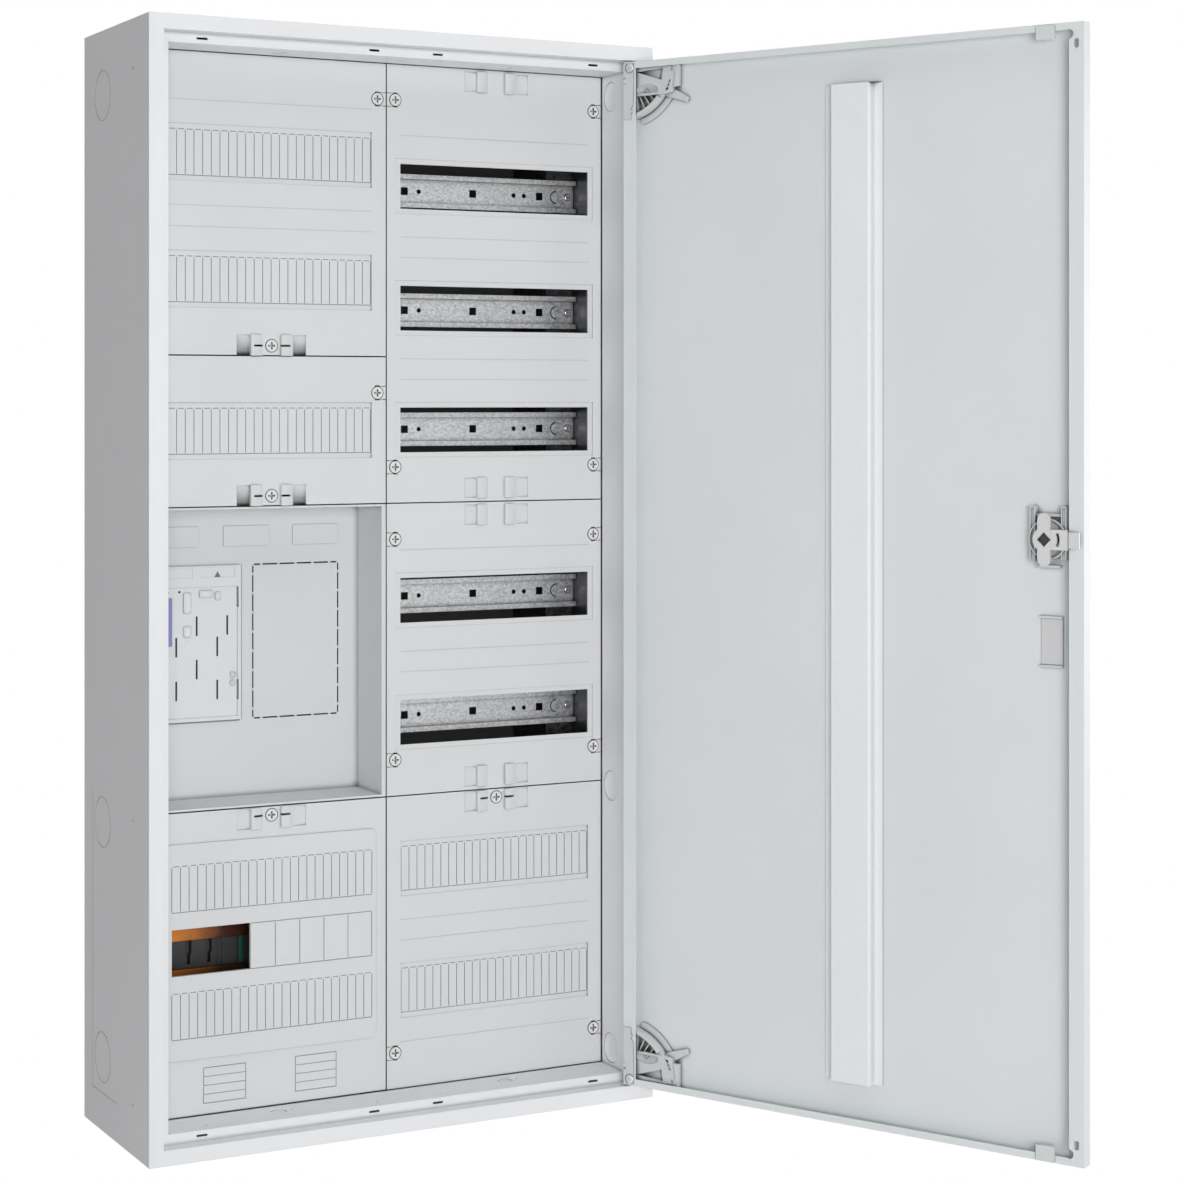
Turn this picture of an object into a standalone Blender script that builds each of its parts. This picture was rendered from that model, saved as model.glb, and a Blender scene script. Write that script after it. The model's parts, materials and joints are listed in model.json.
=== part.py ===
"""Residential load centre: a two-column meter and distribution cabinet with an inset hinged door.

Metres, +Z up. The origin is the centre of the back wall's outer face and the front looks towards -Y.
A depth in this file is measured backwards from the front face of the cabinet.
"""

import math

import bmesh
import bpy
from mathutils import Matrix, Vector

# ---------------------------------------------------------------- driving dimensions

WIDTH, HEIGHT, DEPTH = 0.550, 1.100, 0.205
GAP = 0.0003  # between pieces that touch
OVERCUT = 0.0010  # a cutter reaches this far past the face it cuts

SHELL_T = 0.0015
CABLE_ENTRY_W, CABLE_ENTRY_D, CABLE_ENTRY_FROM_BACK = 0.220, 0.070, 0.012
CABLE_PLATE_T, CABLE_PLATE_LAP = 0.0020, 0.008
CABLE_KNOCKOUT_R, CABLE_KNOCKOUT_PITCH, CABLE_KNOCKOUTS = 0.0130, 0.045, 4
FIXING_R, FIXING_SIDE_IN, FIXING_END_IN = 0.0045, 0.065, 0.070

FRAME_T = 0.0012
FLANGE_W, RABBET_D, LIP_W = 0.015, 0.017, 0.010
COVER_D = 0.067  # front face of the covers
REVEAL_CLEAR = 0.0020  # the reveal stops this far before the covers

ROWS = 7
COVER_T, COVER_SKIRT, COVER_WALL, COVER_GAP = 0.0025, 0.0200, 0.0018, 0.0006
WINDOW_SIDE, WINDOW_H, WINDOW_PITCH = 0.016, 0.046, 0.125  # the side: from the column's edge
BUSBAR_WINDOW_W, BUSBAR_WINDOW_START, BUSBAR_WINDOW_UP = 0.082, 0.020, 0.1625

LOCK_HEAD_R, LOCK_HEAD_T, LOCK_PROUD = 0.0060, 0.0015, 0.0005
LOCK_SHANK_R, LOCK_L, LOCK_BAR_L, LOCK_BAR_W, LOCK_BAR_T = 0.0032, 0.0130, 0.0110, 0.0045, 0.0025
LOCK_CLEAR = 0.0003
LOCK_SLOT_L, LOCK_SLOT_W, LOCK_SLOT_D = 0.0076, 0.0014, 0.0009
LOCK_SIDE_IN, LOCK_END_IN = 0.010, 0.037

FIN_T, UPRIGHT_T, UPRIGHT_W = 0.0030, 0.0020, 0.0360
UPRIGHT_END = 0.006  # from the shell's top and bottom
UPRIGHT_HOLE, UPRIGHT_HOLE_PITCH = 0.0060, 0.0750

RAIL_W, RAIL_OPEN, RAIL_D, RAIL_T = 0.035, 0.025, 0.0075, 0.0010
RAIL_BACK = 0.0500  # rail brims behind the cover front
RAIL_END_CLEAR = 0.0040  # from the column's edges
RAIL_SQUARE, RAIL_SQUARE_PITCH = 0.0080, 0.0795
RAIL_HOLE_R, RAIL_HOLES = 0.0025, (-0.063, 0.0486, 0.061)
RAIL_SCREW_R, RAIL_SCREW_IN = 0.0045, 0.007

TRAY_D, TRAY_T, TRAY_FLANGE_T = 0.064, 0.0016, 0.0016
ADAPTER_W, ADAPTER_H, ADAPTER_T = 0.0937, 0.1572, 0.0025
ADAPTER_IN, ADAPTER_UP, ADAPTER_RIM, ADAPTER_SUNK = 0.0164, 0.0806, 0.0036, 0.0010
ADAPTER_HEAD = 0.0212  # label field above the sunk face
ADAPTER_SLOT_W, ADAPTER_SLOT_H = 0.0019, 0.0197
ADAPTER_SLOTS = ((0.0249, 0.0658), (0.0466, 0.0865), (0.0249, 0.0217), (0.0466, 0.0428),
                 (0.0685, 0.0652), (0.0685, 0.0215), (0.0792, 0.0865))
SLIDER_W, SLIDER_H, SLIDER_T, SLIDER_GRIP = 0.0100, 0.0483, 0.0014, 0.0008
SLIDER_IN, SLIDER_UP = 0.0150, 0.0772

BUSBAR_BACK, BUSBAR_T, BUSBAR_H, BUSBAR_SPAN = 0.0452, 0.0050, 0.0150, 0.0285
BUSBAR_UP = 0.1493  # middle of the busbar holder above the foot of the covers
CARRIER_H, CARRIER_SLOT_D = 0.0680, 0.0080
KEYHOLE_X, KEYHOLE_W, KEYHOLE_H = (0.0556, 0.0772), 0.0062, 0.0140  # from the column's left edge
KEYHOLE_NECK_W, KEYHOLE_FULL_H = 0.0034, 0.0245
CARRIER_GROOVE_X, CARRIER_GROOVE_W = 0.0879, 0.0060
PE_LINK_X, PE_LINK_W, PE_LINK_T = 0.1103, 0.0042, 0.0020

DOOR_GAP, DOOR_SEAT, DOOR_SKIN, DOOR_BEND, DOOR_FILLET = 0.0020, 0.0020, 0.0010, 0.0015, 0.0006
DOOR_LIP_SIDE, DOOR_LIP_END = 0.0150, 0.0070
DOOR_OPEN_DEG = 117.0
PIVOT_IN, PIVOT_D = 0.0045, 0.0035  # pin axis from the door's hinged edge and from its front
PIN_R, PIN_CLEAR = 0.0014, 0.0003
HINGE_BLOCK, HINGE_SECTOR_R, HINGE_SECTOR_T = 0.0110, 0.0400, 0.0040
BEARING_W, BEARING_D, BEARING_H = 0.0120, 0.0120, 0.0090
STIFFENER_W, STIFFENER_TOP_W, STIFFENER_H, STIFFENER_T = 0.0640, 0.0415, 0.0100, 0.0010
STIFFENER_FROM_HINGE, STIFFENER_SHORT = 0.2660, 0.0400

LATCH_IN, LATCH_Z = 0.0390, 0.0500  # from the door's free edge, and its height
LATCH_PLATE_W, LATCH_PLATE_H, LATCH_PLATE_T = 0.0350, 0.0600, 0.0020
LATCH_BASE_R, LATCH_BORE_R, LATCH_CLEAR = 0.0145, 0.0075, 0.0003
LATCH_HEAD_R, LATCH_HEAD_T = 0.0120, 0.0015
KEY_SLOT_W, KEY_SLOT_L, KEY_SLOT_D = 0.0024, 0.0110, 0.0030
CAM_SEAT, CAM_T, CAM_HUB_R, CAM_HUB_PROUD = 0.0010, 0.0025, 0.0110, 0.0008
CAM_LEVER_W, CAM_LEVER_L = 0.0135, 0.0500
TONGUE_T, TONGUE_W, TONGUE_LIFT, TONGUE_CLEAR = 0.0020, 0.0170, 0.0038, 0.0004
TONGUE_ROOT, TONGUE_RAMP, TONGUE_SHORT = 0.0050, 0.0030, 0.0020  # short of the door's free edge
SOCKET = 0.0100
LABEL_W, LABEL_H, LABEL_T, LABEL_RIM = 0.0245, 0.0485, 0.0030, 0.0025
LABEL_BELOW = 0.0726  # top of the label holder below the latch
BUFFER_W, BUFFER_L, BUFFER_IN = 0.0110, 0.0190, 0.0387  # in from the free edge

# ---------------------------------------------------------------- places worked out from them

FRONT_Y = -DEPTH
BORDER = FLANGE_W + LIP_W
COLUMN_W = (WIDTH - 2 * BORDER) / 2
ROW_H = (HEIGHT - 2 * BORDER) / ROWS
WINDOW_W = COLUMN_W - 2 * WINDOW_SIDE
COVER_FOOT = -HEIGHT / 2 + BORDER  # bottom of the lowest row
COVER_BACK = COVER_D + COVER_SKIRT
SHELL_BACK = DEPTH - SHELL_T
RAIL_FRONT = COVER_D + RAIL_BACK
RAIL_BACK_D = RAIL_FRONT + RAIL_D
RAIL_L = COLUMN_W - 2 * RAIL_END_CLEAR
TRAY_BACK = COVER_D + TRAY_D
LEFT_WEB_D = TRAY_BACK + TRAY_T + GAP
BUSBAR_D = COVER_D + BUSBAR_BACK
BUSBAR_Z = COVER_FOOT + BUSBAR_UP
ADAPTER_D = TRAY_BACK - GAP - ADAPTER_T
CARRIER_D = BUSBAR_D + BUSBAR_T + GAP
DOOR_W = WIDTH - 2 * (FLANGE_W + DOOR_GAP)
DOOR_H = HEIGHT - 2 * (FLANGE_W + DOOR_GAP)
DOOR_T = RABBET_D - DOOR_SEAT
BUFFER_T = DOOR_SEAT - 2 * GAP
PIVOT = Vector((DOOR_W / 2 - PIVOT_IN, FRONT_Y + PIVOT_D, 0.0))
LATCH_X = -DOOR_W / 2 + LATCH_IN
CAM_D = DOOR_T + CAM_SEAT
TONGUE_L = LATCH_IN - TONGUE_SHORT
FACETS = 24


def depth(d):
    """The Y of a place this far behind the front face."""
    return FRONT_Y + d


def column_left(column):
    """The left edge of a column of covers."""
    return -COLUMN_W + column * COLUMN_W


# ---------------------------------------------------------------- materials and helpers


def clear_scene():
    for obj in list(bpy.data.objects):
        bpy.data.objects.remove(obj, do_unlink=True)


def material(name, colour, roughness=0.5, metallic=0.0):
    made = bpy.data.materials.new(name)
    made.use_nodes = True
    shader = made.node_tree.nodes["Principled BSDF"]
    shader.inputs["Base Color"].default_value = (*colour, 1.0)
    shader.inputs["Roughness"].default_value = roughness
    shader.inputs["Metallic"].default_value = metallic
    made.diffuse_color = (*colour, 1.0)
    return made


def node(name, shape, finish, at=(0.0, 0.0, 0.0)):
    """A named object from a bmesh that is built about its own origin."""
    bmesh.ops.recalc_face_normals(shape, faces=shape.faces)
    mesh = bpy.data.meshes.new(name)
    shape.to_mesh(mesh)
    shape.free()
    mesh.materials.append(finish)
    obj = bpy.data.objects.new(name, mesh)
    obj.location = at
    bpy.context.scene.collection.objects.link(obj)
    return obj


def add_box(shape, x, y, z):
    """A box between pairs of X, Y and Z."""
    size = Vector((x[1] - x[0], y[1] - y[0], z[1] - z[0]))
    centre = Vector((x[0] + x[1], y[0] + y[1], z[0] + z[1])) / 2
    bmesh.ops.create_cube(shape, size=1.0, matrix=Matrix.Translation(centre) @ Matrix.Diagonal((*size, 1.0)))


def add_disc(shape, centre, radius, length, axis="Y", facets=FACETS):
    """A round bar about the centre, along an axis."""
    turn = {"X": Matrix.Rotation(math.pi / 2, 4, "Y"), "Y": Matrix.Rotation(math.pi / 2, 4, "X"),
            "Z": Matrix.Identity(4)}[axis]
    bmesh.ops.create_cone(shape, cap_ends=True, segments=facets, radius1=radius, radius2=radius,
                          depth=length, matrix=Matrix.Translation(centre) @ turn)


def add_outline(shape, outline, axis, start, end):
    """An outline extruded along an axis: the outline's pairs are the other two axes in order."""
    def place(pair, along):
        spot = list(pair)
        spot.insert("XYZ".index(axis), along)
        return shape.verts.new(spot)

    near = [place(pair, start) for pair in outline]
    far = [place(pair, end) for pair in outline]
    shape.faces.new(near)
    shape.faces.new(reversed(far))
    for i in range(len(outline)):
        j = (i + 1) % len(outline)
        shape.faces.new((near[j], near[i], far[i], far[j]))


def add_loft(shape, loops, closed=False):
    """Rectangles (left, right, low, high, depth) joined in turn; the ends are capped unless it is closed."""
    rings = []
    for left, right, low, high, d in loops:
        corners = ((left, low), (right, low), (right, high), (left, high))
        rings.append([shape.verts.new((x, depth(d), z)) for x, z in corners])
    pairs = list(zip(rings, rings[1:]))
    if closed:
        pairs.append((rings[-1], rings[0]))
    else:
        shape.faces.new(rings[0])
        shape.faces.new(rings[-1])
    for one, other in pairs:
        for i in range(4):
            j = (i + 1) % 4
            shape.faces.new((one[i], one[j], other[j], other[i]))


def solid(build, *arguments, **options):
    shape = bmesh.new()
    build(shape, *arguments, **options)
    return shape


def combine(obj, shape, operation, label):
    """A Boolean with a helper that holds shapes that don't overlap each other."""
    helper = node(f"{obj.name}_{label}", shape, obj.data.materials[0])
    helper.hide_render = True
    helper.display_type = "WIRE"
    helper.parent = obj.parent
    helper.location = obj.location
    boolean = obj.modifiers.new(label, "BOOLEAN")
    boolean.operation = operation
    boolean.solver = "EXACT"
    boolean.object = helper


def rectangle(width, height, d, inset=0.0):
    """A centred rectangle for a loft."""
    return (-width / 2 + inset, width / 2 - inset, -height / 2 + inset, height / 2 - inset, d)


# ---------------------------------------------------------------- cabinet


def cable_entry_depths():
    """Front and back of the cable cut-outs in the top and bottom walls."""
    back = SHELL_BACK - CABLE_ENTRY_FROM_BACK
    return back - CABLE_ENTRY_D, back


def enclosure_shell(finish):
    front = FRAME_T + GAP
    loops = [rectangle(WIDTH, HEIGHT, DEPTH), rectangle(WIDTH, HEIGHT, front),
             rectangle(WIDTH, HEIGHT, front, SHELL_T), rectangle(WIDTH, HEIGHT, SHELL_BACK, SHELL_T)]
    shell = node("enclosure_shell", solid(add_loft, loops), finish)
    holes = bmesh.new()
    near, far = cable_entry_depths()
    for end in (-1, 1):
        wall = sorted((end * (HEIGHT / 2 - 2 * SHELL_T), end * (HEIGHT / 2 + SHELL_T)))
        add_box(holes, (-CABLE_ENTRY_W / 2, CABLE_ENTRY_W / 2), (depth(near), depth(far)), wall)
        for side in (-1, 1):
            spot = (side * (WIDTH / 2 - FIXING_SIDE_IN), -SHELL_T / 2, end * (HEIGHT / 2 - FIXING_END_IN))
            add_disc(holes, spot, FIXING_R, 4 * SHELL_T, facets=16)
    combine(shell, holes, "DIFFERENCE", "holes")


def cable_plate(name, end, finish):
    """The knock-out plate that closes a cable cut-out from inside."""
    near, far = cable_entry_depths()
    inner = HEIGHT / 2 - SHELL_T - GAP
    wall = sorted((end * inner, end * (inner - CABLE_PLATE_T)))
    half = CABLE_ENTRY_W / 2 + CABLE_PLATE_LAP
    x, y = (-half, half), (depth(near - CABLE_PLATE_LAP), depth(far + CABLE_PLATE_LAP))
    plate = node(name, solid(add_box, x, y, wall), finish)
    rims = bmesh.new()
    middle = (CABLE_KNOCKOUTS - 1) / 2
    for i in range(CABLE_KNOCKOUTS):
        spot = ((i - middle) * CABLE_KNOCKOUT_PITCH, depth((near + far) / 2), end * inner)
        add_disc(rims, spot, CABLE_KNOCKOUT_R, CABLE_PLATE_T, "Z")
    combine(plate, rims, "DIFFERENCE", "knockouts")


def front_frame(finish):
    """Flange, rabbet for the door, lip and reveal, folded from one strip and mitred at the corners."""
    reveal_end = COVER_D - REVEAL_CLEAR
    seen = [(0.0, 0.0), (FLANGE_W, 0.0), (FLANGE_W, RABBET_D), (BORDER, RABBET_D), (BORDER, reveal_end)]
    hidden = [(BORDER - FRAME_T, reveal_end), (BORDER - FRAME_T, RABBET_D + FRAME_T),
              (FLANGE_W - FRAME_T, RABBET_D + FRAME_T), (FLANGE_W - FRAME_T, FRAME_T), (0.0, FRAME_T)]
    loops = [rectangle(WIDTH, HEIGHT, d, inset) for inset, d in seen + hidden]
    frame = node("front_frame", solid(add_loft, loops, closed=True), finish)
    cuts = bmesh.new()
    for end in (-1, 1):
        spot = (PIVOT.x, PIVOT.y, end * (HEIGHT / 2 - FLANGE_W))
        add_disc(cuts, spot, PIN_R + 2 * PIN_CLEAR, 4 * FRAME_T, "Z", 16)
    reach = math.hypot(TONGUE_L, TONGUE_W / 2) + OVERCUT
    low, high = LATCH_Z - reach, LATCH_Z + reach
    tongue_front = CAM_D + TONGUE_LIFT
    near = max(tongue_front - TONGUE_CLEAR, RABBET_D + FRAME_T + TONGUE_CLEAR / 2)
    far = tongue_front + TONGUE_T + 2 * TONGUE_CLEAR
    wall = -WIDTH / 2 + BORDER
    add_box(cuts, (wall - 3 * FRAME_T, wall + FRAME_T), (depth(near), depth(far)), (low, high))
    combine(frame, cuts, "DIFFERENCE", "cuts")


def pin_bearing(name, end, finish):
    """The block above or below the rabbet that the hinge pin turns in."""
    near = FRAME_T + GAP
    seat = HEIGHT / 2 - FLANGE_W + FRAME_T + GAP
    wall = sorted((end * seat, end * (seat + BEARING_H)))
    x = (PIVOT.x - BEARING_W / 2, PIVOT.x + BEARING_W / 2)
    block = node(name, solid(add_box, x, (depth(near), depth(near + BEARING_D)), wall), finish)
    hole = solid(add_disc, (PIVOT.x, PIVOT.y, end * seat), PIN_R + PIN_CLEAR, BEARING_H, "Z", 16)
    combine(block, hole, "DIFFERENCE", "bore")


# ---------------------------------------------------------------- carrying profiles


def upright(name, outline, hole_x, web_d, finish):
    """A folded profile from the floor of the shell to its top, perforated along its web."""
    half = HEIGHT / 2 - SHELL_T - UPRIGHT_END
    placed = [(x, depth(d)) for x, d in outline]
    profile = node(name, solid(add_outline, placed, "Z", -half, half), finish)
    holes = bmesh.new()
    count = int((2 * half - UPRIGHT_HOLE_PITCH) / UPRIGHT_HOLE_PITCH)
    for i in range(count + 1):
        z = (i - count / 2) * UPRIGHT_HOLE_PITCH
        add_box(holes, (hole_x - UPRIGHT_HOLE / 2, hole_x + UPRIGHT_HOLE / 2),
                (depth(web_d - UPRIGHT_T), depth(web_d + 2 * UPRIGHT_T)),
                (z - UPRIGHT_HOLE / 2, z + UPRIGHT_HOLE / 2))
    combine(profile, holes, "DIFFERENCE", "perforation")


def folded(start, fin, web_d, direction):
    """Fin, web and leg of an upright, from the fin's outer face towards the direction given."""
    front, back, t = COVER_BACK + GAP, SHELL_BACK - GAP, UPRIGHT_T
    steps = [(0.0, front), (fin, front), (fin, web_d), (UPRIGHT_W, web_d), (UPRIGHT_W, back),
             (UPRIGHT_W - t, back), (UPRIGHT_W - t, web_d + t), (t, web_d + t), (t, back), (0.0, back)]
    return [(start + direction * x, d) for x, d in steps]


def uprights(finish):
    side = COLUMN_W - COVER_GAP
    rail_web = RAIL_BACK_D + GAP
    hole = UPRIGHT_W * 0.62
    upright("upright_left", folded(-side, FIN_T, LEFT_WEB_D, 1), -side + hole, LEFT_WEB_D, finish)
    upright("upright_centre", folded(-FIN_T, 2 * FIN_T, rail_web, 1), -FIN_T + hole, rail_web, finish)
    upright("upright_right", folded(side, FIN_T, rail_web, -1), side - hole, rail_web, finish)


def din_rail(name, z, finish):
    """Top-hat rail: its brims face the front and its base is screwed to the uprights."""
    brim, inner, t = RAIL_W / 2, RAIL_OPEN / 2, RAIL_T
    seen = [(-brim, RAIL_FRONT), (-inner, RAIL_FRONT), (-inner, RAIL_BACK_D - t),
            (inner, RAIL_BACK_D - t), (inner, RAIL_FRONT), (brim, RAIL_FRONT)]
    hidden = [(brim, RAIL_FRONT + t), (inner + t, RAIL_FRONT + t), (inner + t, RAIL_BACK_D),
              (-inner - t, RAIL_BACK_D), (-inner - t, RAIL_FRONT + t), (-brim, RAIL_FRONT + t)]
    outline = [(depth(d), z + up) for up, d in seen + hidden]
    middle = COLUMN_W / 2
    ends = (middle - RAIL_L / 2, middle + RAIL_L / 2)
    rail = node(name, solid(add_outline, outline, "X", *ends), finish)
    cuts = bmesh.new()
    through = (depth(RAIL_BACK_D - 3 * t), depth(RAIL_BACK_D + 2 * t))
    half = RAIL_SQUARE / 2
    for i in (-1, 0, 1):
        x = middle + i * RAIL_SQUARE_PITCH
        add_box(cuts, (x - half, x + half), through, (z - half, z + half))
    for offset in RAIL_HOLES:
        add_disc(cuts, (middle + offset, sum(through) / 2, z), RAIL_HOLE_R, 5 * t, facets=12)
    for end in (-1, 1):
        x = middle + end * (RAIL_L / 2 - RAIL_SCREW_IN)
        add_disc(cuts, (x, sum(through) / 2, z), RAIL_SCREW_R, 5 * t, facets=16)
    combine(rail, cuts, "DIFFERENCE", "holes")


# ---------------------------------------------------------------- covers and their turn locks

# name, column, first row, rows, windows, height of the first window, locks
COVERS = (
    ("cover_left_top", 0, 5, 2, 0, 0.075, ("side_high", "middle_low")),
    ("cover_left_middle", 0, 4, 1, 0, 0.075, ("side_high", "middle_low")),
    ("cover_left_bottom", 0, 0, 2, 0, 0.100, ("middle_high",)),
    ("cover_right_top", 1, 4, 3, 3, 0.075, ("side_high", "side_low")),
    ("cover_right_middle", 1, 2, 2, 2, 0.075, ("side_high", "side_low")),
    ("cover_right_bottom", 1, 0, 2, 0, 0.100, ("middle_high", "side_low")),
)
LOCK_MIDDLE_LOW, LOCK_MIDDLE_HIGH = 0.010, 0.009


def cover_place(column, row, rows):
    """Left, right, bottom and top of a cover."""
    left, low = column_left(column), COVER_FOOT + row * ROW_H
    return (left + COVER_GAP, left + COLUMN_W - COVER_GAP,
            low + COVER_GAP, low + rows * ROW_H - COVER_GAP)


def lock_places(column, row, rows, kinds):
    """Centres of a cover's turn locks."""
    left, low = column_left(column), COVER_FOOT + row * ROW_H
    high = low + rows * ROW_H
    sides = (left + LOCK_SIDE_IN, left + COLUMN_W - LOCK_SIDE_IN)
    middle = left + COLUMN_W / 2
    places = {
        "side_high": [(x, high - LOCK_END_IN) for x in sides],
        "side_low": [(x, low + LOCK_END_IN) for x in sides],
        "middle_low": [(middle, low + LOCK_MIDDLE_LOW)],
        "middle_high": [(middle, high - LOCK_MIDDLE_HIGH)],
    }
    return [place for kind in kinds for place in places[kind]]


def window_places(column, row, windows, first_up):
    """Centres of the windows of a cover."""
    x, low = column_left(column) + COLUMN_W / 2, COVER_FOOT + row * ROW_H
    return [(x, low + first_up + i * WINDOW_PITCH) for i in range(windows)]


def busbar_window():
    """Left, right, bottom and top of the opening over the busbars."""
    left = column_left(0) + BUSBAR_WINDOW_START
    middle = COVER_FOOT + BUSBAR_WINDOW_UP
    return left, left + BUSBAR_WINDOW_W, middle - WINDOW_H / 2, middle + WINDOW_H / 2


def cover(name, column, row, rows, windows, first_up, kinds, finish):
    left, right, low, high = cover_place(column, row, rows)
    w = COVER_WALL
    loops = [(left, right, low, high, COVER_D), (left, right, low, high, COVER_BACK),
             (left + w, right - w, low + w, high - w, COVER_BACK),
             (left + w, right - w, low + w, high - w, COVER_D + COVER_T)]
    plate = node(name, solid(add_loft, loops), finish)
    cuts, seats = bmesh.new(), bmesh.new()
    through = (depth(COVER_D - COVER_T), depth(COVER_D + 2 * COVER_T))
    for x, z in window_places(column, row, windows, first_up):
        add_box(cuts, (x - WINDOW_W / 2, x + WINDOW_W / 2), through, (z - WINDOW_H / 2, z + WINDOW_H / 2))
    if name == "cover_left_bottom":
        one, other, bottom, top = busbar_window()
        add_box(cuts, (one, other), through, (bottom, top))
    seat = LOCK_HEAD_T - LOCK_PROUD + LOCK_CLEAR
    for x, z in lock_places(column, row, rows, kinds):
        add_disc(cuts, (x, sum(through) / 2, z), LOCK_SHANK_R + LOCK_CLEAR, 4 * COVER_T)
        add_disc(seats, (x, depth(COVER_D), z), LOCK_HEAD_R + LOCK_CLEAR, 2 * seat)
    combine(plate, cuts, "DIFFERENCE", "openings")
    combine(plate, seats, "DIFFERENCE", "lock_seats")


def lock_mesh(finish):
    """Quarter-turn lock about its own axis: slotted head, shank and the bar that grips behind the cover."""
    head_y = -LOCK_PROUD
    shape = solid(add_disc, (0, head_y + LOCK_HEAD_T / 2, 0), LOCK_HEAD_R, LOCK_HEAD_T)
    obj = node("lock_pattern", shape, finish)
    start = head_y + LOCK_HEAD_T / 2
    shank = solid(add_disc, (0, (start + LOCK_L) / 2, 0), LOCK_SHANK_R, LOCK_L - start, facets=16)
    combine(obj, shank, "UNION", "shank")
    half = LOCK_BAR_L / 2
    bar = solid(add_box, (-half, half), (LOCK_L - LOCK_BAR_T, LOCK_L + GAP),
                (-LOCK_BAR_W / 2, LOCK_BAR_W / 2))
    combine(obj, bar, "UNION", "bar")
    half_l, half_w = LOCK_SLOT_L / 2, LOCK_SLOT_W / 2
    for label, x, z in (("slot_across", half_l, half_w), ("slot_up", half_w, half_l)):
        slot = solid(add_box, (-x, x), (head_y - OVERCUT, head_y + LOCK_SLOT_D), (-z, z))
        combine(obj, slot, "DIFFERENCE", label)
    bpy.context.view_layer.update()
    made = bpy.data.meshes.new_from_object(obj.evaluated_get(bpy.context.evaluated_depsgraph_get()))
    for helper in [m.object for m in obj.modifiers] + [obj]:
        bpy.data.objects.remove(helper, do_unlink=True)
    return made


def cover_locks(finish):
    """Every turn lock is its own object on its own axis, and they share one mesh."""
    mesh = lock_mesh(finish)
    for name, column, row, rows, _, _, kinds in COVERS:
        for i, (x, z) in enumerate(lock_places(column, row, rows, kinds), 1):
            obj = bpy.data.objects.new(name.replace("cover", "lock") + f"_{i}", mesh)
            obj.location = (x, depth(COVER_D), z)
            bpy.context.scene.collection.objects.link(obj)


# ---------------------------------------------------------------- meter place and busbars


def meter_tray(finish):
    """The sunk tray of the meter place, with a narrow flange level with the covers."""
    left, right, low, high = cover_place(0, 2, 2)
    inner_fin = column_left(0) + COVER_GAP + FIN_T + GAP, column_left(0) + COLUMN_W - FIN_T - GAP
    t = TRAY_T
    wall = (*inner_fin, low + 2 * GAP, high - 2 * GAP)
    room = (wall[0] + t, wall[1] - t, wall[2] + t, wall[3] - t)
    loops = [(*room, TRAY_BACK), (*room, COVER_D), (left, right, low, high, COVER_D),
             (left, right, low, high, COVER_D + TRAY_FLANGE_T), (*wall, COVER_D + TRAY_FLANGE_T),
             (*wall, TRAY_BACK + t)]
    node("meter_tray", solid(add_loft, loops), finish)


def adapter_place():
    """Left and bottom of the adapter plate."""
    return column_left(0) + COVER_GAP + FIN_T + GAP + TRAY_T + ADAPTER_IN, COVER_FOOT + 2 * ROW_H + ADAPTER_UP


def meter_adapter(finish):
    """The plate that a plug-in meter is hung on: rim, label field, sunk face and contact slots."""
    left, low = adapter_place()
    right, high = left + ADAPTER_W, low + ADAPTER_H
    plate = node("meter_adapter", solid(add_box, (left, right), (depth(ADAPTER_D), depth(TRAY_BACK - GAP)),
                                        (low, high)), finish)
    rim = ADAPTER_RIM
    sunk_y = (depth(ADAPTER_D - OVERCUT), depth(ADAPTER_D + ADAPTER_SUNK))
    sunk = solid(add_box, (left + rim, right - rim), sunk_y, (low + rim, high - ADAPTER_HEAD))
    combine(plate, sunk, "DIFFERENCE", "sunk_face")
    slots = bmesh.new()
    for x, z in ADAPTER_SLOTS:
        add_box(slots, (left + x - ADAPTER_SLOT_W / 2, left + x + ADAPTER_SLOT_W / 2),
                (depth(ADAPTER_D), depth(TRAY_BACK + OVERCUT)), (low + z, low + z + ADAPTER_SLOT_H))
    combine(plate, slots, "DIFFERENCE", "contact_slots")


def adapter_slider(finish):
    """The slide that holds a plugged-in meter down."""
    left, low = adapter_place()
    back = ADAPTER_D + ADAPTER_SUNK - GAP
    x = left + SLIDER_IN
    front, half = back - SLIDER_T, SLIDER_W / 2
    body = solid(add_box, (-half, half), (depth(front), depth(back)), (0.0, SLIDER_H))
    slider = node("adapter_slider", body, finish, (x, 0.0, low + SLIDER_UP))
    grip = solid(add_box, (-half / 2, half / 2), (depth(front - SLIDER_GRIP), depth(front + SLIDER_T / 2)),
                 (SLIDER_H * 0.86, SLIDER_H * 0.92))
    combine(slider, grip, "UNION", "grip")


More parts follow.
